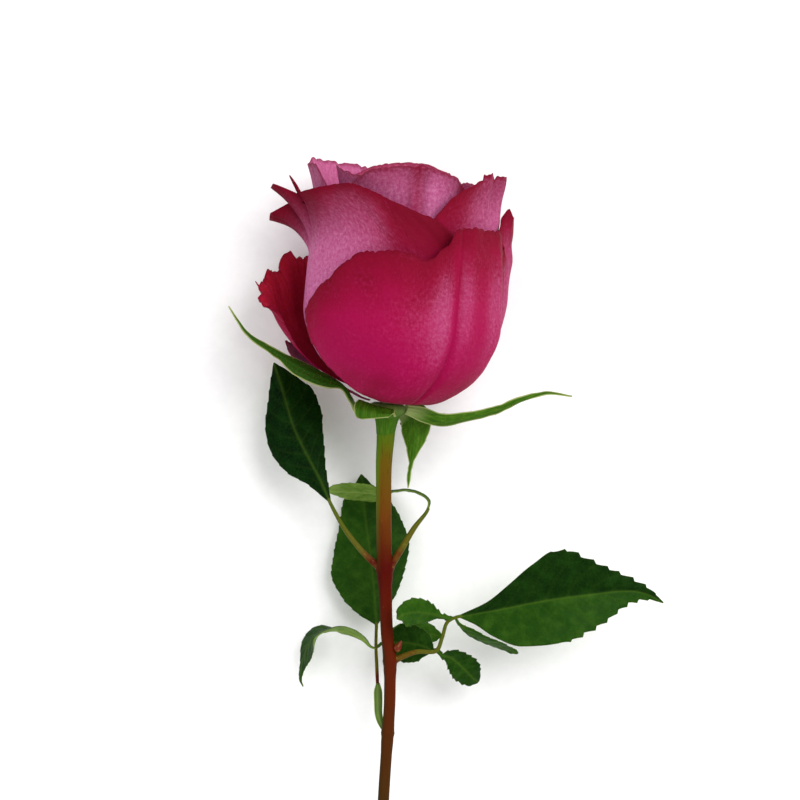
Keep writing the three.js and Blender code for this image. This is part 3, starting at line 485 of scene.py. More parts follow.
PETALS = [
    petal("guard_left", -0.09, -107, 19, [[-1, 0.12], [-0.3, 0.18], [0.2, 0.2], [1, 0.13]],
          open=[[-1, 2], [0, 3], [1, 2]], columns=60, fray=0.9, bright=0.8,
          blush=([[0, 0.2], [1, 0.6]], FLAT)),
    petal("front", 0, 13, 67,
          [[-1, 0.383], [-0.9, 0.455], [-0.74, 0.535], [-0.6, 0.605], [-0.5, 0.632], [-0.36, 0.645],
           [-0.24, 0.655], [-0.1, 0.648], [-0.02, 0.632], [0.06, 0.632], [0.12, 0.648], [0.2, 0.672],
           [0.26, 0.735], [0.32, 0.754], [0.64, 0.758], [0.85, 0.735], [1, 0.6]],
          claw=BROAD_CLAW, columns=240, fray=0.95,
          creases=[(0.3, 0.36, -0.9, 1.3, 0.1), (0.22, 0.29, 0.75, 2.2, 0.3), (0.42, 0.44, 0.5, 3.0, 0.3),
                   (0.9, 0.8, 0.7, 2.2, 0.35), (0.05, 0.1, -0.4, 2.4, 0.55), (-0.2, -0.15, 0.3, 5.0, 0.3)],
          # Its blush is set in strips across it, strongest beside the crease ridges: painted highlights
          # there rather than lilac.
          blush=([[0.15, 0.0], [0.4, 0.06], [0.7, 0.2], [0.9, 0.06], [1, 0.0]],
                 [[-1, 0.1], [-0.3, 0.25], [0.05, 0.7], [0.2, 1.5], [0.3, 0.1], [0.38, 1.1], [0.55, 0.3],
                  [0.8, 1.2], [1, 0.8]])),
    petal("open_left", 0.035, -126, 46,
          [[-1, 0.55], [-0.5, 0.62], [-0.1, 0.6], [0.3, 0.55], [0.75, 0.5], [1, 0.42]],
          open=[[-1, 0], [-0.5, 5], [0, 11], [0.5, 15], [0.85, 12], [1, 9]],
          roll=[[-1, 0], [-0.2, 20], [0.4, 42], [1, 24]], tuck=0.07, fray=1.8, columns=190, ruffle=0.5,
          ripple=0.6, pulls=[(0.05, 0.1, 0.85, (-0.3, 2.4, 0.6)), (0.3, 0.06, 0.86, (0.4, 2.6, 1.0)),
                 (0.62, 0.09, 0.86, (-0.4, 1.6, 0.8)), (0.9, 0.1, 0.86, (-1.6, -1.2, 0.8))],
          creases=[(-0.2, -0.3, 0.6, 2.2, 0.4), (0.2, 0.15, -0.6, 1.8, 0.45)]),
    petal("right", 0.07, 115, 52,
          [[-1, 0.64], [-0.62, 0.69], [-0.5, 0.76], [-0.4, 0.76], [-0.3, 0.7], [0.6, 0.66], [1, 0.5]],
          open=[[-1, 0], [-0.5, 2], [0, 5], [0.5, 2], [1, 0]],
          roll=[[-1, 0], [-0.45, 12], [0.2, 12], [1, 0]], fray=1.2, ruffle=0.4, columns=170,
          ripple=1.4, pulls=[(-0.56, 0.1, 0.8, (-1.4, 3.0, 1.2)), (-0.42, 0.12, 0.8, (1.2, 2.8, 0.2))],
          creases=[(-0.5, -0.46, 1.5, 4.5, 0.45)],
          blush=([[0, 0.1], [0.8, 0.3], [1, 0.0]], FLAT)),
    petal("back", 0.13, 176, 52, [[-1, 0.62], [0, 0.72], [1, 0.62]],
          blush=([[0.1, 0.0], [0.5, 0.3], [1, 0.1]], FLAT)),
    petal("flared_left", 0.17, -27, 70,
          [[-1, 0.8], [-0.7, 0.865], [-0.47, 0.883], [-0.18, 0.9], [0.38, 0.833], [0.74, 0.775], [1, 0.68]],
          roll=[[-1, 66], [-0.6, 44], [-0.3, 8], [1, 0]], roll_length=0.25, columns=200, fray=0.45,
          pulls=[(-0.94, 0.1, 0.78, (-5.4, -2.6, 0.5)), (-0.78, 0.06, 0.8, (-5.6, 2.6, 1.5)),
                 (-0.69, 0.03, 0.82, (-2.2, 4.4, 0.5))],
          creases=[(-0.62, -0.5, 0.5, 3.0, 0.5)],
          blush=([[0, 0.95], [0.55, 0.95], [0.75, 0.8], [0.9, 0.35], [1, 0.05]],
                 [[-1, 1], [-0.3, 0.9], [0.05, 0.75], [0.4, 0.15], [1, 0.0]]),
          # Its flush darkens the rim: the crimson of the rolled left fingers, and painted shade on the right
          # part.
          flush=([[0, 0.0], [0.75, 0.0], [0.92, 0.75], [1, 1.0]],
                 [[-1, 1], [-0.55, 0.9], [-0.3, 0.3], [0.1, 0.05], [0.4, 0.7], [1, 1.0]])),
    petal("creased_right", 0.21, 70, 60,
          [[-1, 0.7], [-0.5, 0.9], [0, 0.958], [0.5, 0.94], [1, 0.8]],
          open=[[-1, 0], [-0.2, 1], [0.3, 3.8], [0.8, 3], [1, 0]],
          roll=[[-1, 0], [-0.4, 6], [0.1, 6], [0.35, 5], [0.7, 5], [1, 4]], roll_length=0.3,
          columns=170, fray=0.7, ripple=0.25,
          pulls=[(-0.06, 0.12, 0.88, (-0.4, 1.4, 0.6)), (0.2, 0.14, 0.88, (0.2, 1.5, 0.6))],
          creases=[(0.08, 0.08, -1.0, 1.4, 0.5), (-0.1, -0.04, 0.6, 2.0, 0.5), (0.28, 0.26, 0.7, 2.0, 0.5),
                   (0.42, 0.4, -0.5, 1.6, 0.55)],
          # Its blush is kept low on its left side, which leaves painted shade there, where the petals in
          # front shade it.
          blush=([[0, 0.8], [0.6, 0.8], [0.85, 0.55], [1, 0.15]],
                 [[-1, 0.1], [-0.5, 0.2], [-0.1, 0.8], [0.3, 1.1], [1, 0.6]])),
    petal("back_second", 0.255, 178, 60, ROUND_RIM, roll=[[-1, 4], [0, 14], [1, 4]], bright=0.4,
          blush=([[0, 0.5], [0.8, 0.5], [1, 0.1]], FLAT)),
    petal("tall_left", 0.3, -126, 61,
          [[-1, 0.82], [-0.5, 0.95], [0.3, 0.99], [0.75, 0.98], [1, 0.82]],
          open=[[-1, 0], [0, 3], [0.45, 4.5], [0.8, 3.5], [1, 0]],
          roll=[[-1, 4], [0, 18], [0.45, 22], [0.8, 14], [1, 6]], columns=150, fray=0.9,
          pulls=[(0.3, 0.15, 0.86, (0.0, 0.8, 0.5))],
          creases=[(0.36, 0.34, -0.8, 1.6, 0.5), (0.5, 0.48, 0.6, 2.5, 0.5)], bright=0.75,
          blush=([[0, 0.8], [0.7, 0.75], [0.95, 0.6], [1, 0.4]], FLAT)),
    petal("right_second", 0.34, 118, 60, [[u, share * 0.93] for u, share in ROUND_RIM],
          roll=[[-1, 4], [0, 14], [1, 6]], bright=0.5, blush=([[0, 0.6], [0.8, 0.5], [1, 0.2]], FLAT)),
    petal("crown_front", 0.38, 4, 66,
          [[-1, 0.86], [-0.8, 0.9], [-0.5, 0.96], [-0.2, 0.985], [0.05, 1], [0.25, 0.995], [0.5, 0.97],
           [0.8, 0.92], [1, 0.85]],
          roll=[[-1, 4], [0, 20], [1, 6]], columns=150, bright=0.5,
          creases=[(0.16, 0.14, -0.9, 1.5, 0.45), (0.1, 0.07, 0.6, 1.4, 0.45), (0.45, 0.4, 0.7, 6.0, 0.45),
                   (0.82, 0.76, -0.6, 2.2, 0.5)],
          # Its blush is kept low at its right side, which leaves painted shade there.
          blush=([[0, 0.9], [0.7, 0.9], [0.9, 0.75], [1, 0.35]],
                 [[-1, 0.8], [-0.1, 0.75], [0.1, 0.3], [0.3, 1.0], [0.6, 0.9], [0.8, 0.3], [1, 0.2]])),
]
PETAL_ROWS = 84
SEED_STEP = 11


def petal_marks(shape, arc_u, arc_v, edge, u, v):
    """What the velvet needs at each point: its place on the petal, and its blush, flush and brightness."""
    amount = {}
    for mark in ("blush", "flush"):
        up, over = shape[mark]
        amount[mark] = np.clip(along(up, v)[:, None] * along(over, u)[None, :], 0, 1)
    rise = np.broadcast_to(v[:, None], arc_u.shape)
    apart = shape["seed"] * 37.0
    lay = np.stack([arc_u + apart, arc_v + apart, 0 * arc_u], 2)
    bright = np.full(arc_u.shape, shape["bright"])
    return {"lay": lay, "rise": rise, "edge": edge, "bright": bright, **amount}


def petal_edge(points, u, v):
    """Distances in millimetres: across and up the petal from its claw, and to its nearest free edge."""
    steps_v = np.linalg.norm(np.diff(points, axis=0), axis=2)
    arc_v = np.vstack([np.zeros(len(u)), np.cumsum(steps_v, 0)])
    steps_u = np.linalg.norm(np.diff(points, axis=1), axis=2)
    arc_u = np.hstack([np.zeros((len(v), 1)), np.cumsum(steps_u, 1)])
    width = arc_u[:, -1:]
    edge = np.minimum(np.minimum(arc_u, width - arc_u), arc_v[-1:] - arc_v)
    return arc_u - width / 2, arc_v, edge


def petal_flesh(claw, v, edge):
    """Thickness from the claw to the rim, thinned along every free edge."""
    return (claw + (RIM_THICKNESS - claw) * ease(v / 0.7)[:, None]) * (0.4 + 0.6 * ease(edge / 0.9))


for number, shape in enumerate(PETALS):
    shape["seed"] = 100 + SEED_STEP * number
    radius, angle, height, u, v = petal_skin(shape, shape["columns"], PETAL_ROWS)
    middle = bloom_point(radius, angle, settled(radius, angle, height))
    for at, width, start, move in shape["pulls"]:
        strip = ease(2.2 * (1 - np.abs(u - at) / width))[None, :]
        middle += (strip * np.clip((v - start) / (1 - start), 0, 1)[:, None] ** 1.3)[..., None] * move
    low = np.minimum(middle[..., 2] - PRESS_HEIGHT, 0)
    middle[..., 2] -= low * (1 - PRESS_SHARE)
    arc_u, arc_v, edge = petal_edge(middle, u, v)
    stand = petal_dents(shape, u[None, :], v[:, None], arc_u, arc_v)
    flesh = petal_flesh(CLAW_THICKNESS, v, edge)
    marks = petal_marks(shape, arc_u, arc_v, edge, u, v)
    points, faces, marks = closed_sheet(middle, flesh, marks, stand)
    give = np.minimum((points[:, 2] + SHIFT[2]) / SETTLE - 1, 0)
    points[:, 2] = np.where(give < 0, SETTLE * np.exp(give) - SHIFT[2], points[:, 2])
    piece = make_piece("petal_blade_" + shape["name"], points, faces, marks, petal_velvet)
    place(piece, "petal", "petal_" + shape["name"])

# ---------------------------------------------------------------- heart petals
# Twelve petals close the middle of the bloom. Each follows the last by the golden angle, a little further
# in and a little lower, so one petal that narrows step by step makes them all.
HEART_PETALS = 12
GOLDEN_ANGLE = -137.5
FIRST_ANGLE = -72.0
HEART_COLUMNS, HEART_ROWS = 58, 46
HEART_CLAW_THICKNESS = 0.4
HEART_RUFFLE = 3.0


def heart_ends():
    """The outermost and the innermost heart petal, as radius, angle and height at the same points."""
    ends = []
    for inward in (0.0, 1.0):
        shape = petal("heart", 0.43 + 0.53 * inward, 0, 66 + 26 * inward,
                      [[u, share * (0.96 - 0.1 * inward)] for u, share in ROUND_RIM],
                      roll=[[-1, 6], [0, 20 - 10 * inward], [1, 6]], seed=300, bright=0.5,
                      blush=([[0, 0.8], [0.85, 0.85], [1, 0.4]], FLAT))
        radius, angle, height, u, v = petal_skin(shape, HEART_COLUMNS, HEART_ROWS)
        middle = bloom_point(radius, angle, height)
        arc_u, arc_v, edge = petal_edge(middle, u, v)
        marks = petal_marks(shape, arc_u, arc_v, edge, u, v)
        flesh = petal_flesh(HEART_CLAW_THICKNESS, v, edge)
        points, faces, marks = closed_sheet(middle, flesh, marks)
        out = points - bloom_base
        x, y, h = out @ bloom_right, out @ bloom_front, out @ bloom_axis
        skin_angle = np.concatenate([angle.ravel(), angle.ravel()])
        turn = np.arctan2(x, y)
        turn += 2 * np.pi * np.round((skin_angle - turn) / (2 * np.pi))
        ends.append((np.stack([np.hypot(x, y), turn, h], 1), points, faces, marks))
    return ends


def new_shaping(name, inputs):
    """A geometry tree with named inputs after its geometry, and the sockets that give them."""
    shaping = bpy.data.node_groups.new(name, "GeometryNodeTree")
    shaping.interface.new_socket("Geometry", in_out="INPUT", socket_type="NodeSocketGeometry")
    for label, kind, default in inputs:
        socket = shaping.interface.new_socket(label, in_out="INPUT", socket_type="NodeSocket" + kind)
        if default is not None:
            socket.default_value = default
    shaping.interface.new_socket("Geometry", in_out="OUTPUT", socket_type="NodeSocketGeometry")
    return shaping, shaping.nodes.new("NodeGroupInput").outputs


def finished(tree, geometry, given, plain=None):
    """Makes what a tree has grown real and finished, joins what stays plain to it, and ends the tree."""
    real = add_node(tree, "GeometryNodeRealizeInstances", {"Geometry": geometry})
    whole = add_node(tree, "GeometryNodeSetMaterial", {
        "Geometry": real.outputs[0], "Material": given["Finish"]})
    if plain:
        joined = add_node(tree, "GeometryNodeJoinGeometry")
        tree.links.new(whole.outputs[0], joined.inputs[0])
        tree.links.new(plain, joined.inputs[0])
        whole = joined
    add_node(tree, "NodeGroupOutput", {0: whole.outputs[0]})


def grow(name, seedling, shaping, values):
    """The plain mesh that a geometry tree makes of a seedling object, as a finished piece."""
    modifier = seedling.modifiers.new("growth", "NODES")
    modifier.node_group = shaping
    for item in shaping.interface.items_tree:
        if item.in_out == "INPUT" and item.name in values:
            modifier[item.identifier] = values[item.name]
    evaluated = seedling.evaluated_get(bpy.context.evaluated_depsgraph_get())
    mesh = bpy.data.meshes.new_from_object(evaluated)
    mesh.name = name
    seedling.modifiers.clear()
    bpy.data.objects.remove(seedling)
    return new_object(name, mesh)


def vector_maths(tree, operation, *values):
    node = add_node(tree, "ShaderNodeVectorMath", operation=operation)
    for key, value in enumerate(values):
        socket = node.inputs["Scale"] if operation == "SCALE" and key == 1 else node.inputs[key]
        if isinstance(value, bpy.types.NodeSocket):
            tree.links.new(value, socket)
        else:
            socket.default_value = value
    return node.outputs[0]


def stored(tree, name, kind="FLOAT"):
    """A mark that the seedling's points carry."""
    return add_node(tree, "GeometryNodeInputNamedAttribute", {"Name": name}, data_type=kind).outputs[0]


heart_tree, given = new_shaping("heart_spiral", [
    ("Petals", "Int", 12), ("Golden angle", "Float", 0.0), ("First angle", "Float", 0.0),
    ("Ruffle", "Float", 0.5), ("Base", "Vector", None), ("Right", "Vector", None),
    ("Front", "Vector", None), ("Axis", "Vector", None), ("Finish", "Material", None),
])
starts = add_node(heart_tree, "GeometryNodeMeshLine", {"Count": given["Petals"]})
order = add_node(heart_tree, "GeometryNodeInputIndex").outputs[0]
numbered = add_node(heart_tree, "GeometryNodeStoreNamedAttribute", {
    "Geometry": starts.outputs[0], "Name": "step", "Value": order}, data_type="FLOAT", domain="POINT")
at_origin = add_node(heart_tree, "GeometryNodeSetPosition", {
    "Geometry": numbered.outputs[0], "Position": (0.0, 0.0, 0.0)})
copies = add_node(heart_tree, "GeometryNodeInstanceOnPoints", {
    "Points": at_origin.outputs[0], "Instance": given["Geometry"]})
real = add_node(heart_tree, "GeometryNodeRealizeInstances", {"Geometry": copies.outputs[0]})
step = stored(heart_tree, "step")
inward = maths(heart_tree, "DIVIDE", step, maths(heart_tree, "SUBTRACT", given["Petals"], 1.0))
polar = add_node(heart_tree, "ShaderNodeMix", {
    0: inward, 4: stored(heart_tree, "outermost", "FLOAT_VECTOR"),
    5: stored(heart_tree, "innermost", "FLOAT_VECTOR")}, data_type="VECTOR").outputs[1]
parts = add_node(heart_tree, "ShaderNodeSeparateXYZ", {0: polar}).outputs
turn = maths(heart_tree, "MULTIPLY_ADD", step, given["Golden angle"], given["First angle"])
turn = maths(heart_tree, "ADD", parts[1], turn)
free = maths(heart_tree, "POWER", stored(heart_tree, "rise"), 3.0)
swell = add_node(heart_tree, "ShaderNodeTexNoise", {
    "Vector": stored(heart_tree, "lay", "FLOAT_VECTOR"),
    "W": maths(heart_tree, "MULTIPLY", step, 3.7), "Scale": 0.13, "Detail": 2.0},
    noise_dimensions="4D").outputs[0]
swell = maths(heart_tree, "MULTIPLY", maths(heart_tree, "SUBTRACT", swell, 0.5), given["Ruffle"])
swell = maths(heart_tree, "MULTIPLY", swell, free)
spread = maths(heart_tree, "ADD", parts[0], swell)
level = maths(heart_tree, "MULTIPLY_ADD", swell, 2.0, parts[2])
sideways = vector_maths(heart_tree, "SCALE", given["Right"],
                        maths(heart_tree, "MULTIPLY", spread, maths(heart_tree, "SINE", turn)))
forwards = vector_maths(heart_tree, "SCALE", given["Front"],
                        maths(heart_tree, "MULTIPLY", spread, maths(heart_tree, "COSINE", turn)))
upwards = vector_maths(heart_tree, "SCALE", given["Axis"], level)
spot = vector_maths(heart_tree, "ADD", vector_maths(heart_tree, "ADD", sideways, forwards),
                    vector_maths(heart_tree, "ADD", upwards, given["Base"]))
spot = vector_maths(heart_tree, "SCALE", spot, MM)
set_spot = add_node(heart_tree, "GeometryNodeSetPosition", {"Geometry": real.outputs[0], "Position": spot})
smoothed = add_node(heart_tree, "GeometryNodeSetShadeSmooth", {"Geometry": set_spot.outputs[0]})
finished(heart_tree, smoothed.outputs[0], given)

(first_polar, points, faces, marks), (last_polar, *_) = heart_ends()
marks = {**marks, "outermost": first_polar, "innermost": last_polar}
seedling = make_piece("heart_seedling", points, faces, marks, None)
heart = grow("heart_petals", seedling, heart_tree, {
    "Petals": HEART_PETALS, "Golden angle": float(np.radians(GOLDEN_ANGLE)),
    "First angle": float(np.radians(FIRST_ANGLE)), "Ruffle": HEART_RUFFLE,
    "Base": (bloom_base + SHIFT).tolist(),
    "Right": bloom_right.tolist(), "Front": bloom_front.tolist(), "Axis": bloom_axis.tolist(),
    "Finish": petal_velvet,
})
place(heart, "petal", *(f"petal_heart_{i + 1:02d}" for i in range(HEART_PETALS)))

# ---------------------------------------------------------------- sepals
# Five green sepals grow round the hip and curl back as the bloom opens. Each is a tapered leafy blade,
# green and ribbed outside, paler along its edges, and drawn out into a thread at the tip.
SEPAL_THICKNESS = 0.5
SEPAL_SKIN = HIP_RADIUS + SEPAL_THICKNESS / 2 + 0.3
SEPAL_ROWS, SEPAL_COLUMNS = 120, 26
SEPAL_RAG, SEPAL_RIB, SEPAL_CURL, SEPAL_FOLD = 0.12, 0.05, 0.3, 14
GLAND_DENSITY, GLAND_HEIGHT, GLAND_GIRTH = 0.9e6, 0.22, 0.05  # a square metre, then millimetres
PATH_DETAIL = 60


def smooth_path(points, steps):
    """Even points and directions along a smooth line through the given points."""
    points = np.asarray(points, float)
    ends = np.concatenate([[2 * points[0] - points[1]], points, [2 * points[-1] - points[-2]]])
    dense = []
    for i in range(len(points) - 1):
        a, b, c, d = ends[i:i + 4]
        first, middle, last = (max(np.linalg.norm(q - p), 1e-6) ** 0.5 for p, q in ((a, b), (b, c), (c, d)))
        leave = ((b - a) / first - (c - a) / (first + middle) + (c - b) / middle) * middle
        enter = ((c - b) / middle - (d - b) / (middle + last) + (d - c) / last) * middle
        t = np.linspace(0, 1, PATH_DETAIL, endpoint=i == len(points) - 2)[:, None]
        dense.append(b + leave * t + (3 * (c - b) - 2 * leave - enter) * t**2
                     + (2 * (b - c) + leave + enter) * t**3)
    dense = np.concatenate(dense)
    length = np.concatenate([[0], np.cumsum(np.linalg.norm(np.diff(dense, axis=0), axis=1))])
    at = np.linspace(0, length[-1], steps + 1)
    even = np.stack([np.interp(at, length, dense[:, k]) for k in range(3)], 1)
    tangent = np.gradient(even, axis=0)
    return even, tangent / np.linalg.norm(tangent, axis=1, keepdims=True), length[-1]


def rotate(vectors, axes, angles):
    """Vectors turned about unit axes, by an angle in radians for each."""
    cos, sin = np.cos(angles)[..., None], np.sin(angles)[..., None]
    kept = axes * (vectors * axes).sum(-1, keepdims=True) * (1 - cos)
    return vectors * cos + np.cross(axes, vectors) * sin + kept


def blade_skin(blade, columns, rows, outline_extra=None):
    """The middle surface of a blade, with u, v, and the half-width on each side."""
    path, tangent, length = smooth_path(blade["midrib"], rows)
    u, v = np.linspace(-1, 1, columns + 1), np.linspace(0, 1, rows + 1)
    if "foot" in blade:
        bare = np.linalg.norm(blade["midrib"][1] - blade["midrib"][0]) / length
        v = np.clip((v - bare) / (1 - bare), 0, 1)
    if blade.get("side") is not None:
        side = np.asarray(blade["side"], float)
        across = side - tangent * (tangent @ side)[:, None]
    else:
        across = np.cross(tangent, [0.0, 0.0, 1.0])
    across /= np.linalg.norm(across, axis=1, keepdims=True)
    fold = np.clip(4 * u, -1, 1) * blade.get("fold", 0.0)
    turn = np.radians(along(blade.get("twist", EVEN), v)[:, None] + fold[None, :])
    shape = (rows + 1, columns + 1, 3)
    across = rotate(np.broadcast_to(across[:, None], shape), np.broadcast_to(tangent[:, None], shape), turn)
    left, right = along(blade["left"], v), along(blade.get("right", blade["left"]), v)
    if outline_extra is not None:
        left, right = left + outline_extra[0], right + outline_extra[1]
    half = np.where(u[None, :] < 0, left[:, None], right[:, None])
    return path[:, None] + across * (half * u[None, :])[..., None], u, v, half, length


def attach_sepal(start, line):
    """A sepal's midline, from its foot on the hip out to its tip under the petals."""
    under = OUTER_PROFILE[:5, 1:]
    foot = bloom_point(SEPAL_SKIN, np.radians(start[0]), start[1])
    rest = []
    for out, angle, depth in line:
        radius, angle = SEPAL_SKIN + out, np.radians(angle)
        rest.append(bloom_point(radius, angle, settled(radius, angle, along(under, radius) - depth)))
    return np.stack([foot, *rest])


SEPALS = [
    ("left", [-80, -1.6],
     [[2.3, -80, 3.7], [4.2, -77, 1.8], [7, -74, -0.3], [11.8, -77, 0.3], [18.1, -81, 4.4],
      [25.2, -86, 12.1], [30.8, -88, 8.6], [33.7, -89, 4.9], [36.4, -90, 0.8]],
     {"left": [[0, 1.6], [0.12, 0.9], [0.2, 0.9], [0.32, 2.4], [0.45, 2.7], [0.6, 1.3], [0.78, 0.7],
               [1, 0.15]],
      "twist": [[0, 60], [0.2, 50], [0.4, 40], [1, 30]], "turned_over": True}),
    ("right", [70, -1.6],
     [[2.7, 84, 2.8], [8.6, 90, 4.8], [14.3, 91, 7.3], [21, 92, 18], [27.7, 91, 18.1], [34, 91, 15.7],
      [40.6, 90, 15.9]],
     {"left": [[0, 1.4], [0.12, 2.1], [0.25, 1.9], [0.4, 1.5], [0.6, 1.1], [0.85, 0.5], [1, 0.15]],
      "twist": [[0, 20], [0.4, 40], [1, 20]]}),
    ("drooping", [130, -1.6],
     [[3.1, 121, 4.6], [3.5, 121, 8.5], [3.1, 120, 13.5], [2.4, 117, 18.5], [2.2, 114, 22]],
     {"left": [[0, 2.4], [0.2, 4.1], [0.4, 3.2], [0.62, 1.2], [0.72, 0.6], [0.9, 0.5], [1, 0.15]]}),
    ("front", [-24, -1.3],
     [[1.5, -22, 1.6], [2.6, -22, 2.4], [3.3, -21, 3.5], [3.1, -20, 4.7]],
     {"left": [[0, 2.8], [0.3, 4.8], [0.6, 5.3], [0.85, 4.6], [1, 3.2]], "side": [-1, 0.25, 0], "fold": 0}),
    ("back", [-174, -1.6],
     [[1.3, -175, 5.4], [1.4, -175, 9.2], [0.7, -176, 14.1], [-0.3, -180, 19], [-1.4, -187, 22.8]],
     {"left": [[0, 1.6], [0.2, 1.8], [0.5, 1.3], [0.75, 0.7], [1, 0.15]]}),
]


def arc_marks(half, u, v, length, apart):
    """Where each point is on a flat blade, and its distance from the blade's edge, in millimetres."""
    wide = half * u[None, :]
    up = np.broadcast_to(v[:, None] * length, wide.shape)
    lay = np.stack([wide + apart, up + apart, 0 * wide], 2)
    edge = np.minimum(half - np.abs(wide), (1 - v[:, None]) * length)
    return lay, edge


gland_tree, given = new_shaping("glands", [
    ("Density", "Float", 1.0), ("Height", "Float", 1.0), ("Girth", "Float", 1.0), ("Seed", "Int", 1),
    ("Finish", "Material", None),
])
spread_out = add_node(gland_tree, "GeometryNodeDistributePointsOnFaces", {
    "Mesh": given["Geometry"], "Density": given["Density"], "Seed": given["Seed"]})
gland = add_node(gland_tree, "GeometryNodeMeshCone", {
    "Vertices": 5, "Radius Top": maths(gland_tree, "MULTIPLY", given["Girth"], 0.6),
    "Radius Bottom": given["Girth"], "Depth": given["Height"]})
sizes = add_node(gland_tree, "FunctionNodeRandomValue", {
    2: 0.5, 3: 1.2, "Seed": given["Seed"]}, data_type="FLOAT").outputs[1]
planted = add_node(gland_tree, "GeometryNodeInstanceOnPoints", {
    "Points": spread_out.outputs["Points"], "Instance": gland.outputs["Mesh"],
    "Rotation": spread_out.outputs["Rotation"], "Scale": sizes})
finished(gland_tree, planted.outputs[0], given, plain=given["Geometry"])

# Gland tips: specks of sticky down, olive to red-brown.
gland_tips, tree, shader = new_finish("gland_tips", 0.4)
gland_grain = grain(tree, spot_on_flower(tree), 1500.0, 2.0)
gland_paint = colours_by(tree, gland_grain, [(0.35, 120, 104, 40), (0.65, 156, 84, 52)])
finish_surface(tree, shader, gland_paint, gland_grain, 0.2, 0.02)

for number, (name, start, line, blade) in enumerate(SEPALS):
    blade = {"midrib": attach_sepal(start, line), "fold": SEPAL_FOLD, **blade}
    at = np.linspace(0, 1, SEPAL_ROWS + 1)
    ragged = [SEPAL_RAG * wave(at * 40, 1.8, 500 + 10 * number + side) * ease((1 - at) / 0.3)
              for side in (0, 1)]
    middle, u, v, half, length = blade_skin(blade, SEPAL_COLUMNS, SEPAL_ROWS, ragged)
    lay, edge = arc_marks(half, u, v, length, 60.0 * number)
    ribs = SEPAL_RIB * np.cos(np.pi * 4 * u)[None, :] * ease(half / 1.5)
    curl = SEPAL_CURL * np.abs(u[None, :]) ** 3 * wave(v[:, None] * length, 5.0, 540 + number)
    flesh = SEPAL_THICKNESS * (0.45 + 0.55 * ease(edge / 0.8)) * (0.6 + 0.4 * ease(half / 1.2))
    pale_foot = 0.5 * ease((0.16 - np.broadcast_to(v[:, None], edge.shape)) / 0.16)
    marks = {"lay": lay, "edge": edge, "pale": pale_foot}
    points, faces, marks = closed_sheet(middle, flesh, marks, ribs + curl)
    if blade.get("turned_over"):
        marks["inside"] = 1 - marks["inside"]
    seedling = make_piece("sepal_seedling", points, faces, marks, calyx_skin)
    piece = grow("sepal_blade_" + name, seedling, gland_tree, {
        "Density": GLAND_DENSITY, "Height": GLAND_HEIGHT * MM, "Girth": GLAND_GIRTH * MM,
        "Seed": 7 + number, "Finish": gland_tips})
    place(piece, "calyx", "sepal_" + name)

# ---------------------------------------------------------------- stem
# One woody stem, cut on a slant at its lower end. It is green and downy at the neck, turns red-brown
# below the first leaves, and thickens a little at every joint where a leaf grows or grew.
CUT_SLANT = 1.6
STEM_SIDES, STEM_STEPS = 28, 420
JOINT_RING, JOINT_GROOVE, JOINT_WIDTH, GROOVE_BELOW = 0.12, 0.07, 0.5, 1.3
UPPER_NODE, MIDDLE_NODE, LOWER_NODE = 42.0, 65.3, 83.5
BARE_NODES = [126.0, 166.0, 207.0]
STEM_WANDER = [
    [0, 0.1], [9, -0.6], [18, -1.1], [36, -1.0], [47, -0.7], [58, -0.3], [66, 0.5], [75, 0.4],
    [85, -0.2], [99, -1.1], [130, -2.6], [170, -3.2], [207, -2.4], [STEM_LENGTH, -0.4],
]
STEM_RADII = [
    [HIP_LENGTH, NECK_RADIUS + 0.35], [13, NECK_RADIUS + 0.15], [20, NECK_RADIUS],
    [UPPER_NODE - 4, NECK_RADIUS - 0.03], [UPPER_NODE, NECK_RADIUS + 0.2],
    [UPPER_NODE + 5, NECK_RADIUS - 0.28], [MIDDLE_NODE - 6, NECK_RADIUS - 0.4],
    [MIDDLE_NODE, NECK_RADIUS - 0.18], [MIDDLE_NODE + 5, NECK_RADIUS - 0.48],
    [LOWER_NODE - 4, NECK_RADIUS - 0.48], [LOWER_NODE, NECK_RADIUS - 0.32],
    [LOWER_NODE + 6, NECK_RADIUS - 0.52],
    *([node + step, CUT_END_RADIUS + size] for node in BARE_NODES
      for step, size in ((-6, -0.25), (0, 0.1), (6, -0.2))),
    [STEM_LENGTH, CUT_END_RADIUS],
]


def stem_centre(distance):
    """The middle of the stem at a distance down it from the bloom's base."""
    distance = np.asarray(distance, float)
    return np.stack([along(STEM_WANDER, distance), -distance, HIP_CENTRE_Z - distance * np.tan(SLOPE)], -1)


line_tree, given = new_shaping("round_along_line", [
    ("Sides", "Int", 16), ("Finish", "Material", None)])
as_curve = add_node(line_tree, "GeometryNodeMeshToCurve", {"Mesh": given["Geometry"]})
circle = add_node(line_tree, "GeometryNodeCurvePrimitiveCircle", {
    "Resolution": given["Sides"], "Radius": 1.0})
tube = add_node(line_tree, "GeometryNodeCurveToMesh", {
    "Curve": as_curve.outputs[0], "Profile Curve": circle.outputs[0], "Scale": stored(line_tree, "girth"),
    "Fill Caps": True})
tube_smooth = add_node(line_tree, "GeometryNodeSetShadeSmooth", {"Geometry": tube.outputs[0]})
finished(line_tree, tube_smooth.outputs[0], given)


def tube_along(name, points, radii, sides, finish, down):
    """A round solid along a line of points, with its radius and its place down the flower at each."""
    mesh = bpy.data.meshes.new(name + "_line")
    steps = np.arange(len(points) - 1)
    mesh.from_pydata(((points + SHIFT) * MM).tolist(), np.stack([steps, steps + 1], 1).tolist(), [])
    length = np.concatenate([[0], np.cumsum(np.linalg.norm(np.diff(points, axis=0), axis=1))])
    write_marks(mesh, {"girth": radii * MM, "down": np.broadcast_to(down, len(points)), "reach": length})
    line = new_object(name + "_line", mesh)
    return grow(name, line, line_tree, {"Sides": sides, "Finish": finish})
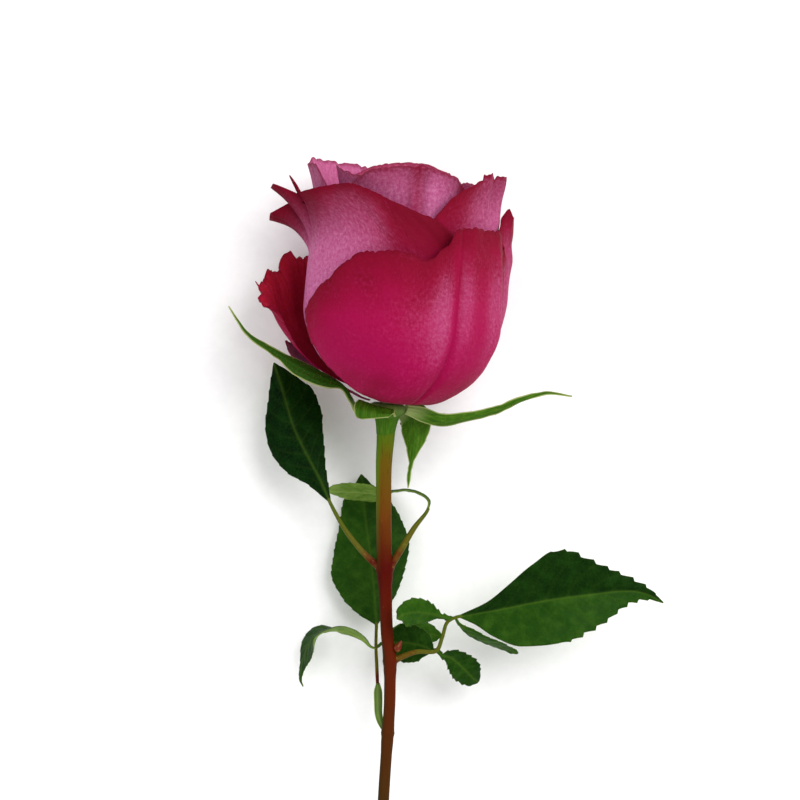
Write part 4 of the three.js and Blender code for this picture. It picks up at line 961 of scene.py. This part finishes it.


# Bark: green above, red at the upper joint, brown below, with fine lengthwise ridges, pale flecks, and a
# left side that stays greener and is painted darker as painted shade.
stem_bark, tree, shader = new_finish("stem_bark", 0.42, 0.02)
where = spot_on_flower(tree)
down = mark_value(tree, "down")
ridges = grain(tree, where, 1.0, 5.0, (2600.0, 130.0, 2600.0))
flecks = grain(tree, where, 900.0, 5.0, roughness=0.7)
blotches = grain(tree, where, 90.0, 3.0, (1.0, 0.35, 1.0))
mixed_down = varied(tree, maths(tree, "DIVIDE", down, 100.0), blotches, 0.14)
# Two copies of the bark: one for the side towards the light, and a greener, darker one for the left side,
# which is partly the stem's own colour and partly painted shade.
lit_side_bark = colours_by(tree, mixed_down, [
    (0.0, 66, 106, 18), (0.1, 78, 98, 16), (0.16, 92, 74, 12),
    (0.3, 98, 52, 12), (0.4, 76, 10, 6), (0.5, 84, 20, 7),
    (0.68, 84, 28, 8), (0.85, 72, 36, 10), (1.0, 66, 40, 12)])
greener_and_shaded_bark = colours_by(tree, mixed_down, [
    (0.0, 66, 106, 18), (0.2, 82, 104, 18), (0.34, 80, 64, 14),
    (0.42, 66, 10, 6), (0.52, 66, 28, 8), (0.8, 56, 38, 10),
    (1.0, 54, 40, 12)])
bark = blend_colours(tree, between(tree, mark_value(tree, "side"), -0.8, -0.3), greener_and_shaded_bark, lit_side_bark)
bark = blend_colours(tree, between(tree, flecks, 0.62, 0.75, 0.0, 0.2), bark, (150, 110, 60))
bark = blend_colours(tree, between(tree, ridges, 0.5, 0.25, 0.0, 0.4), bark, (48, 26, 12))
bark = blend_colours(tree, mark_value(tree, "cut"), bark, colours_by(tree, flecks, [
    (0.35, 150, 160, 96), (0.65, 206, 206, 156)]))
finish_surface(tree, shader, bark, maths(tree, "ADD", ridges, flecks), 0.45, 0.12)

distances = np.linspace(HIP_LENGTH - 0.6, STEM_LENGTH, STEM_STEPS)
stem_radii = along(STEM_RADII, distances)
for node in [UPPER_NODE, MIDDLE_NODE, LOWER_NODE, *BARE_NODES]:
    past = distances - node
    stem_radii = stem_radii + JOINT_RING * np.exp(-(past / JOINT_WIDTH) ** 2)
    stem_radii = stem_radii - JOINT_GROOVE * np.exp(-((past - GROOVE_BELOW) / JOINT_WIDTH) ** 2)
stem = tube_along("stem_wood", stem_centre(distances), stem_radii, STEM_SIDES, stem_bark, distances)


# The cut face leans back up the stem, and the marks tell the bark its left side, which takes the greener
# copy with painted shade in it, and its cut.
mesh = stem.data
points = np.empty(len(mesh.vertices) * 3, np.float32)
mesh.vertices.foreach_get("co", points)
points = points.reshape(-1, 3).astype(float) / MM - SHIFT
cut = -points[:, 1] > STEM_LENGTH - 0.25
across = (points[:, 2] - stem_centre(STEM_LENGTH)[2]) / CUT_END_RADIUS
points[cut, 1] += CUT_SLANT * (across[cut] + 1) / 2
mesh.vertices.foreach_set("co", ((points + SHIFT) * MM).astype(np.float32).ravel())
write_marks(mesh, {"side": (points[:, 0] - along(STEM_WANDER, -points[:, 1])) / 2, "cut": cut})
mesh.update()
place(stem, "stem", "stem")

# ---------------------------------------------------------------- leaf stalks
# Thin round stalks carry the leaves. They are green flesh, red-brown where they join the stem, swell
# there, and thin out towards the blade.
STALK_RADIUS = 0.75
STALK_SIDES, STALK_STEPS = 16, 90
upper, middle_joint, lower = (stem_centre(node) for node in (UPPER_NODE, MIDDLE_NODE, LOWER_NODE))


def leave_stem(node, direction, reach=STALK_RADIUS):
    """Where a stalk starts, just inside the stem's skin, in a direction across the stem."""
    away = np.asarray(direction, float)
    away /= np.linalg.norm(away)
    return stem_centre(node) + away * (along(STEM_RADII, node) + reach - 1.6)


def offsets(origin, steps):
    """Points at steps from one origin."""
    return [origin + np.asarray(step, float) for step in steps]


STALKS = [
    ("upper_left_stalk", UPPER_NODE,
     [leave_stem(UPPER_NODE, [-1, 0.3, 0]), *offsets(upper, [[-5.2, 4, -0.2], [-10, 10, -0.9],
      [-13.6, 16.4, -1.7], [-14.2, 17.7, -1.95]])],
     [[0, 1.25], [0.08, STALK_RADIUS + 0.1], [0.6, 0.6], [1, 0.4]]),
    ("upper_right_stalk", UPPER_NODE,
     [leave_stem(UPPER_NODE, [1, 0.3, 0]), *offsets(upper, [[4.4, 5.4, 0], [7.6, 10.6, -0.2],
      [10.4, 14.1, -0.9], [11.0, 15.2, -1.6]])],
     [[0, 1.35], [0.08, STALK_RADIUS + 0.2], [0.5, 0.75], [1, 0.4]]),
    ("middle_leaf_stalk", MIDDLE_NODE,
     [leave_stem(MIDDLE_NODE, [1, 0.25, 0.1]), *offsets(middle_joint, [[6.5, 2.4, 0.5], [11.6, 2.7, 0.8],
      [13.1, 6, 1.2], [14.4, 9.9, 1.5], [16.6, 11.2, 1.5], [18.2, 11.5, 1.5]])],
     [[0, 1.15], [0.08, STALK_RADIUS], [0.4, 0.55], [1, 0.4]]),
    ("lower_leaf_stalk", LOWER_NODE,
     offsets(lower, [[-2.6, 12.2, -2.9], [-2.8, 17, -4.2], [-3, 21, -5.4], [-2.9, 27.4, -7.2]]),
     [[0, 0.45], [1, 0.38]]),
]
# Stalk skin: the stem's green, red-brown near the stem and turning green unevenly along the stalk.
stalk_skin, tree, shader = new_finish("stalk_skin", 0.4, 0.05)
where = spot_on_flower(tree)
flush_grain = grain(tree, where, 160.0, 4.0)
down_grain = grain(tree, where, 1800.0, 3.0)
far = varied(tree, maths(tree, "DIVIDE", mark_value(tree, "reach"), 25.0), flush_grain, 0.9)
skin = colours_by(tree, far, [
    (0.0, 78, 12, 6), (0.1, 88, 46, 12), (0.28, 86, 80, 18),
    (0.8, 72, 86, 18), (1.0, 76, 88, 22)])
skin = blend_colours(tree, between(tree, down_grain, 0.55, 0.75, 0.0, 0.3), skin, (160, 140, 70))
finish_surface(tree, shader, skin, down_grain, 0.3, 0.08)

for name, node, points, radii in STALKS:
    path, _, length = smooth_path(points, STALK_STEPS)
    at = np.linspace(0, 1, STALK_STEPS + 1)
    girths = along(radii, at) * (1 + 0.05 * wave(at * length, 3.0, 610))
    stalk = tube_along(name + "_flesh", path, girths, STALK_SIDES, stalk_skin, node)
    place(stalk, "leaf", name)

# ---------------------------------------------------------------- leaf blades
# Each leaflet is a thin blade with a saw-toothed edge, a midrib that stands out below, and side veins
# sunk into the upper face. The upper face is dark and waxy, and the underside is pale and dull.
LEAF_THICKNESS = 0.4
LEAF_COLUMNS, ROWS_PER_TOOTH = 44, 7
VEIN_WIDTH, VEIN_SINK = 0.24, 0.05
MIDRIB_WIDTH, MIDRIB_SINK, MIDRIB_FLESH = 0.3, 0.1, 0.45
PILLOW, BUCKLE = 0.1, 0.35  # how far the skin swells between veins, and how far the blade waves
VEIN_REACH = 0.17  # how far up the blade a side vein climbs on its way to the edge

# Leaf skin: dark green between pale veins above, and light grey-green with raised veins below. The tone mark
# sets each half of a leaflet on its own: partly the leaflet's own green, partly painted shade on a half that
# tilts away from the light.
leaf_skin, tree, shader = new_finish("leaf_skin", 0.38, 0.035)
lay = mark_value(tree, "lay", "Vector")
vein, tone_and_painted_shade, edge = (mark_value(tree, name) for name in ("vein", "tone_and_painted_shade", "edge"))
patches = grain(tree, lay, 0.28, 4.0)
skin_grain = grain(tree, lay, 3.5, 4.0, roughness=0.65)
net = add_node(tree, "ShaderNodeTexVoronoi", {"Vector": lay, "Scale": 1.15}, feature="DISTANCE_TO_EDGE")
net_line = between(tree, net.outputs["Distance"], 0.09, 0.0)
shade = varied(tree, patches, skin_grain, 0.5)
dark_leaf = colours_by(tree, shade, [
    (0.3, 1, 20, 1), (0.5, 3, 29, 2), (0.7, 8, 42, 5)])
bright_leaf = colours_by(tree, shade, [
    (0.3, 26, 64, 7), (0.5, 38, 75, 11), (0.7, 54, 90, 19)])
upper_face = blend_colours(tree, tone_and_painted_shade, dark_leaf, bright_leaf)
upper_face = blend_colours(tree, maths(tree, "MULTIPLY", net_line, 0.1), upper_face, (50, 92, 24))
upper_face = blend_colours(tree, maths(tree, "MULTIPLY", vein, 0.3), upper_face, (76, 104, 30))
under_face = colours_by(tree, shade, [
    (0.3, 82, 114, 36), (0.5, 98, 130, 48), (0.7, 122, 150, 68)])
under_face = blend_colours(tree, maths(tree, "MULTIPLY", net_line, 0.2), under_face, (132, 160, 84))
under_face = blend_colours(tree, maths(tree, "MULTIPLY", vein, 0.4), under_face, (158, 176, 100))
blade_paint = blend_colours(tree, mark_value(tree, "inside"), upper_face, under_face)
edge_grain = maths(tree, "ADD", edge, maths(tree, "MULTIPLY", skin_grain, 0.3))
edge_share = between(tree, edge_grain, 0.3, 0.14, 0.0, 0.4)
blade_paint = blend_colours(tree, edge_share, blade_paint, (90, 100, 34))
leaf_relief = maths(tree, "SUBTRACT", skin_grain, maths(tree, "MULTIPLY", net_line, 1.2))
leaf_gloss = between(tree, skin_grain, 0.3, 0.7, 0.34, 0.5)
finish_surface(tree, shader, blade_paint, leaf_relief, 0.3, 0.1, leaf_gloss)

LEAVES = [
    ("upper_left_blade", upper, (0.0, 0.05), 13, 8, {
        "midrib": [[-13.9, 17.1, -1.8], [-16.4, 22.6, -2.8], [-19.3, 28, -4], [-23, 35.6, -5.8],
                   [-25.6, 44, -8], [-28.2, 52, -10.4]],
        "left": [[0, 0.4], [0.18, 3.9], [0.33, 7.4], [0.46, 8.4], [0.6, 7.4], [0.74, 5.2], [0.88, 2.6],
                 [1, 0.15]],
        "right": [[0, 0.4], [0.18, 2.4], [0.33, 4.9], [0.46, 6.8], [0.6, 8.4], [0.74, 8.0], [0.88, 4.2],
                  [1, 0.15]],
        "fold": 18, "teeth_size": 0.5}),
    ("upper_right_blade", upper, (0.7, 0.7), 16, 9, {
        "midrib": [[10.9, 14.9, -1.5], [11.3, 16.9, -2.4], [9.8, 18.5, -4.2], [6, 19.7, -6.4],
                   [1.8, 19.4, -7.6], [-2.5, 19.0, -8.2], [-7, 19.2, -8.6], [-11.5, 19.4, -8.8],
                   [-15, 19.4, -9.2]],
        "left": [[0, 0.4], [0.15, 1.3], [0.35, 3.6], [0.6, 6.2], [0.8, 5.6], [0.93, 3.4], [1, 0.3]],
        "twist": [[0, 90], [0.45, 92], [0.62, 112], [1, 116]]}),
    # Its upper half is painted darker than its lower half: painted shade on the half that tilts away from
    # the light.
    ("middle_leaf_terminal", middle_joint, (0.15, 0.65), 17, 9, {
        "midrib": [[17.6, 11.4, 1.4], [27.5, 13.2, 2.8], [37.5, 15.2, 3.8], [47.5, 16.6, 3.8],
                   [60, 17.8, 1.8], [65, 16.8, 0], [69, 14.6, -2.4]],
        "left": [[0, 0.4], [0.12, 2.2], [0.26, 6.2], [0.39, 10.6], [0.47, 12.8], [0.53, 12.7], [0.6, 10.4],
                 [0.68, 7.4], [0.76, 4.8], [0.85, 2.5], [0.93, 1.1], [1, 0.15]],
        "right": [[0, 0.4], [0.07, 3], [0.14, 6.5], [0.26, 10.4], [0.39, 11.2], [0.49, 11], [0.585, 9.3],
                  [0.68, 7], [0.755, 4.6], [0.83, 2.8], [0.93, 1], [1, 0.15]],
        "fold": -16, "teeth_from": 0.42, "teeth_size": 1.7, "teeth_end": 0.2}),
    ("middle_leaf_inner_left", middle_joint, (1.0, 0.9), 9, 5, {
        "midrib": [[12.6, 11.6, 3.2], [9.6, 12.4, 4.6], [6.4, 12.9, 7.2], [3.2, 12.4, 9.8],
                   [1.8, 11.4, 11]],
        "left": [[0, 0.8], [0.3, 3.8], [0.6, 4.1], [0.82, 2.6], [0.94, 1.1], [1, 0.2]],
        "right": [[0, 0.8], [0.3, 3], [0.6, 3.6], [0.82, 2.6], [0.94, 1.1], [1, 0.2]],
        "twist": [[0, -20], [1, -10]], "fold": 10, "foot": [15.6, 10.6, 1.5]}),
    ("middle_leaf_inner_right", middle_joint, (1.0, 1.0), 9, 5, {
        "midrib": [[17.4, 9.4, -0.6], [20, 7.4, -1.4], [24, 5.2, -2.4], [28.4, 3.6, -3.4],
                   [32.4, 1.6, -4.6]],
        "left": [[0, 0.6], [0.3, 2.6], [0.65, 2.8], [0.9, 1.4], [1, 0.2]],
        "twist": [[0, 62], [0.8, 66], [1, 30]], "foot": [16.4, 11.1, 1.4]}),
    ("middle_leaf_outer_left", middle_joint, (0.5, 0.35), 9, 5, {
        "midrib": [[10.8, 2.7, -1.0], [8.6, 3.6, -2.4], [4.8, 4.3, -4.2], [1, 4.4, -5.4], [-1.6, 4.4, -6]],
        "left": [[0, 0.6], [0.25, 4.2], [0.6, 5.1], [0.82, 3.2], [0.94, 1.3], [1, 0.2]],
        "right": [[0, 0.6], [0.25, 3.9], [0.6, 5.0], [0.82, 3.2], [0.94, 1.3], [1, 0.2]],
        "foot": [11.7, 2.7, 0.4], "teeth_size": 0.5}),
    ("middle_leaf_outer_right", middle_joint, (0.35, 0.5), 9, 5, {
        "midrib": [[13, 1.6, 0], [15.4, 0.8, -0.8], [18.6, -2, -2.6], [21, -4.6, -4.8], [22.4, -5.8, -6.4]],
        "left": [[0, 0.6], [0.3, 3.0], [0.6, 3.9], [0.85, 3.0], [0.95, 1.7], [1, 0.4]],
        "right": [[0, 0.6], [0.3, 2.8], [0.6, 3.8], [0.85, 2.8], [0.95, 1.5], [1, 0.4]],
        "fold": 8, "foot": [11.9, 2.9, 0.6], "teeth_size": 1.2}),
    ("lower_leaf_terminal", lower, (0.65, 0.45), 20, 9, {
        "midrib": [[-2.9, 26.9, -7.1], [-3.4, 34, -8.4], [-4.2, 43, -9.4], [-5.6, 53, -10.8],
                   [-6.8, 65, -12.4]],
        "left": [[0, 0.4], [0.08, 4.6], [0.2, 8.4], [0.35, 10.6], [0.52, 9.2], [0.68, 7], [0.84, 5.2],
                 [0.92, 2.6], [1, 0.15]],
        "right": [[0, 0.4], [0.08, 2.6], [0.2, 5.8], [0.35, 8.4], [0.52, 10.2], [0.68, 9], [0.84, 6],
                  [0.92, 2.8], [1, 0.15]],
        "fold": 6, "teeth_size": 0.5, "foot": [-2.9, 25.6, -6.7]}),
    ("lower_leaf_left", lower, (0.5, 0.5), 17, 9, {
        "midrib": [[-4.2, 21.4, -5], [-6.8, 23.8, -4], [-10.7, 25.6, -3.2], [-14, 25.7, -3.4],
                   [-17.5, 24.8, -4.6], [-20, 21.6, -6.6], [-21.6, 17, -9.2], [-22.4, 12.6, -11.8],
                   [-21.8, 10.6, -13]],
        "left": [[0, 0.4], [0.12, 3], [0.35, 4.8], [0.6, 4.2], [0.8, 1.6], [1, 0.15]],
        "twist": [[0, 112], [0.25, 108], [0.42, 84], [0.6, 62], [1, 55]], "foot": [-3.0, 21.0, -5.4],
        "teeth_size": 0.5}),
    ("lower_leaf_right", lower, (1.0, 1.0), 9, 5, {
        "midrib": [[-1.6, 22, -6.4], [2, 23.4, -8.4], [7, 24.2, -10.4], [11.6, 24, -11.8],
                   [14, 23.4, -12.2]],
        "left": [[0, 0.4], [0.3, 3], [0.65, 3.6], [0.9, 1.6], [1, 0.15]], "foot": [-2.9, 21.2, -5.5]}),
]

for number, (name, origin, tones_and_painted_shade, teeth, veins, blade) in enumerate(LEAVES):
    points = [blade["foot"], *blade["midrib"]] if "foot" in blade else blade["midrib"]
    blade = {**blade, "midrib": offsets(origin, points)}
    rows = teeth * ROWS_PER_TOOTH
    at = np.linspace(0, 1, rows + 1)
    widest = max(width for _, width in blade["left"])
    outline_extra = []
    for side in (0, 1):
        rng = np.random.default_rng(700 + 10 * number + side)
        sizes = rng.uniform(0.65, 1.2, teeth + 1)
        phase = at * teeth + 0.5 * side
        tooth = (phase % 1.0) ** 1.3
        size = sizes[np.minimum(phase.astype(int), teeth)]
        fade = ease((at - blade.get("teeth_from", 0.0)) / 0.15)
        fade = fade * ease((1 - at) / blade.get("teeth_end", 0.06)) * blade.get("teeth_size", 1.0)
        outline_extra.append((0.11 * widest**0.5 + 0.25) * (tooth - 0.45) * size * fade)
    middle, u, v, half, length = blade_skin(blade, LEAF_COLUMNS, rows, outline_extra)
    lay, edge = arc_marks(half, u, v, length, 90.0 * number)
    wide = np.abs(u)[None, :]
    spacing = 0.92 / veins
    climb = v[:, None] - VEIN_REACH * wide**1.25 + 0.3 * spacing * (u[None, :] > 0)
    nearest = (climb / spacing) % 1.0
    off = np.minimum(nearest, 1 - nearest) * spacing * length * 0.85
    side_vein = np.exp(-((off / VEIN_WIDTH) ** 2)) * ease((1 - wide) / 0.25) * ease(half / 2.0)
    midrib_line = np.exp(-((wide * half / MIDRIB_WIDTH) ** 2))
    pillow = PILLOW * ease(off / (0.4 * spacing * length)) * ease((1 - wide) / 0.3) * ease(half / 3.0)
    buckle = BUCKLE * wide**2 * wave(v[:, None] * length + 9 * u[None, :], 6.5, 800 + number)
    stand = pillow - VEIN_SINK * side_vein - MIDRIB_SINK * midrib_line + buckle * ease(half / 3)
    flesh = LEAF_THICKNESS * (0.35 + 0.65 * ease(edge / 0.7))
    flesh = np.minimum(flesh + MIDRIB_FLESH * midrib_line * (1 - 0.7 * v[:, None]), 0.35 + half * 0.5)
    marks = {
        "lay": lay, "edge": edge, "tone_and_painted_shade": np.broadcast_to(np.where(u < 0, *tones_and_painted_shade), edge.shape),
        "vein": np.clip(0.3 * side_vein * (1 - 0.5 * wide) + midrib_line, 0, 1),
    }
    points, faces, marks = closed_sheet(middle, flesh, marks, stand)
    piece = make_piece(name + "_leaf", points, faces, marks, leaf_skin)
    place(piece, "leaf", name)

# ---------------------------------------------------------------- stipule and buds
# A thin green sheath wraps the foot of the lower leaf's stalk. Small buds sit where leaves join the stem
# and where they once did, each of a few tight scales.
stipule_blade = {
    "midrib": [leave_stem(LOWER_NODE, [-1, 0, -0.5], 0.6),
               *offsets(lower, [[-2.2, 4, -1.7], [-2.4, 8, -2.2], [-2.5, 12.4, -2.9]])],
    "left": [[0, 0.5], [0.25, 0.95], [0.8, 1.15], [1, 0.5]], "fold": 20,
}
middle, u, v, half, length = blade_skin(stipule_blade, 16, 60)
lay, edge = arc_marks(half, u, v, length, 400.0)
points, faces, marks = closed_sheet(
    middle, 0.45 * (0.5 + 0.5 * ease(edge / 0.5)), {"lay": lay, "edge": edge, "pale": 0.2 * ease(edge)},
    0.06 * np.cos(np.pi * 3 * u)[None, :] + 0 * edge)
stipule = make_piece("stipule_sheath", points, faces, marks, calyx_skin)
place(stipule, "leaf", "lower_leaf_stipule")

# Bud scales: red-brown, overlapping, glossy.
bud_scales, tree, shader = new_finish("bud_scales", 0.35, 0.15)
lay = mark_value(tree, "lay", "Vector")
scale_grain = grain(tree, lay, 2.2, 4.0, (1.0, 0.4, 1.0))
bud_paint = colours_by(tree, scale_grain, [
    (0.3, 78, 14, 8), (0.5, 104, 28, 14), (0.7, 118, 92, 34)])
finish_surface(tree, shader, bud_paint, scale_grain, 0.3, 0.1)
BUD_SIDES, BUD_ROWS, BUD_RIPPLE = 24, 34, 0.07
BUD_OUTLINE = [[0, 0.45], [0.12, 0.82], [0.3, 1], [0.55, 0.86], [0.8, 0.5], [1, 0.06]]
BUDS = [
    ("middle_bud", MIDDLE_NODE - 2.6, [0.5, 1, 0.3], 3.2, 0.9),
    ("bare_bud_1", BARE_NODES[0] - 2, [-0.5, 1, 0.35], 2.6, 0.8),
    ("bare_bud_2", BARE_NODES[1] - 2, [0.55, 1, 0.1], 2.4, 0.75),
    ("bare_bud_3", BARE_NODES[2] - 2, [-0.35, 1, 0.6], 2.2, 0.7),
]
for number, (name, node, direction, length, radius) in enumerate(BUDS):
    away = np.asarray(direction, float) / np.linalg.norm(direction)
    out = np.array([away[0], 0, away[2]])
    out /= np.linalg.norm(out)
    foot = stem_centre(node) + out * (along(STEM_RADII, node) + radius * 0.4)
    share = np.linspace(0, 1, BUD_ROWS)
    swell = 1 + BUD_RIPPLE * ((share * 4) % 1.0)
    profile = [[float(along(BUD_OUTLINE, s)) * radius * w, s * length] for s, w in zip(share, swell)]
    points, faces = turned_shape(profile, away, foot, BUD_SIDES)
    level = (points - foot) @ away
    spoke = points - foot - level[:, None] * away
    around = np.arctan2(spoke @ np.cross(away, out), spoke @ out)
    points = points + spoke * (BUD_RIPPLE * np.cos(3 * around + 5 * level / length))[:, None]
    marks = {"lay": np.stack([around * radius, level + 30 * number, 0 * level], 1)}
    bud = make_piece(name + "_scales", points, faces, marks, bud_scales)
    place(bud, "stem", name)

# ---------------------------------------------------------------- table, light and camera
# The flower lies on a plain pale table under soft studio light from the upper right, and the camera
# looks straight down on it.
table_finish, tree, shader = new_finish("table_finish", 0.85)
where = spot_on_flower(tree)
table_grain = grain(tree, where, 400.0, 3.0)
table_paint = colours_by(tree, table_grain, [(0.3, 243, 243, 243), (0.7, 247, 247, 247)])
finish_surface(tree, shader, table_paint, table_grain, 0.05, 0.1)
TABLE_HALF = 3.0
corners = [(x * TABLE_HALF, y * TABLE_HALF, 0) for x, y in ((-1, -1), (1, -1), (1, 1), (-1, 1))]
table_mesh = bpy.data.meshes.new("table")
table_mesh.from_pydata(corners, [], [(0, 1, 2, 3)])
table_mesh.materials.append(table_finish)
new_object("table", table_mesh)

bloom_low, bloom_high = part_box("petal_front")
bloom_middle = (bloom_low + bloom_high) / 2


def soft_light(name, offset, size, power):
    """A round soft light at an offset in metres from the bloom, turned towards it."""
    lamp = bpy.data.lights.new(name, "AREA")
    lamp.shape, lamp.size, lamp.energy = "DISK", size, power
    holder = new_object(name, lamp)
    holder.location = bloom_middle + Vector(offset)
    holder.rotation_euler = (-Vector(offset)).to_track_quat("-Z", "Y").to_euler()


soft_light("key_light", (0.5, 0.4, 0.85), 0.8, 9.0)
soft_light("fill_light", (-0.6, -0.5, 0.8), 0.9, 2.2)
world = bpy.data.worlds.new("studio")
world.use_nodes = True
background = world.node_tree.nodes["Background"]
background.inputs["Color"].default_value = (1, 1, 1, 1)
background.inputs["Strength"].default_value = 0.8
bpy.context.scene.world = world
bpy.context.scene.view_settings.view_transform = "Standard"

CAMERA_SPOT = [3.0, 0.5, 856.0]
camera = new_object("camera", bpy.data.cameras.new("camera"))
camera.data.lens, camera.data.sensor_width = 150, 36
camera.location = (np.array(CAMERA_SPOT) + SHIFT) * MM
bpy.context.scene.camera = camera
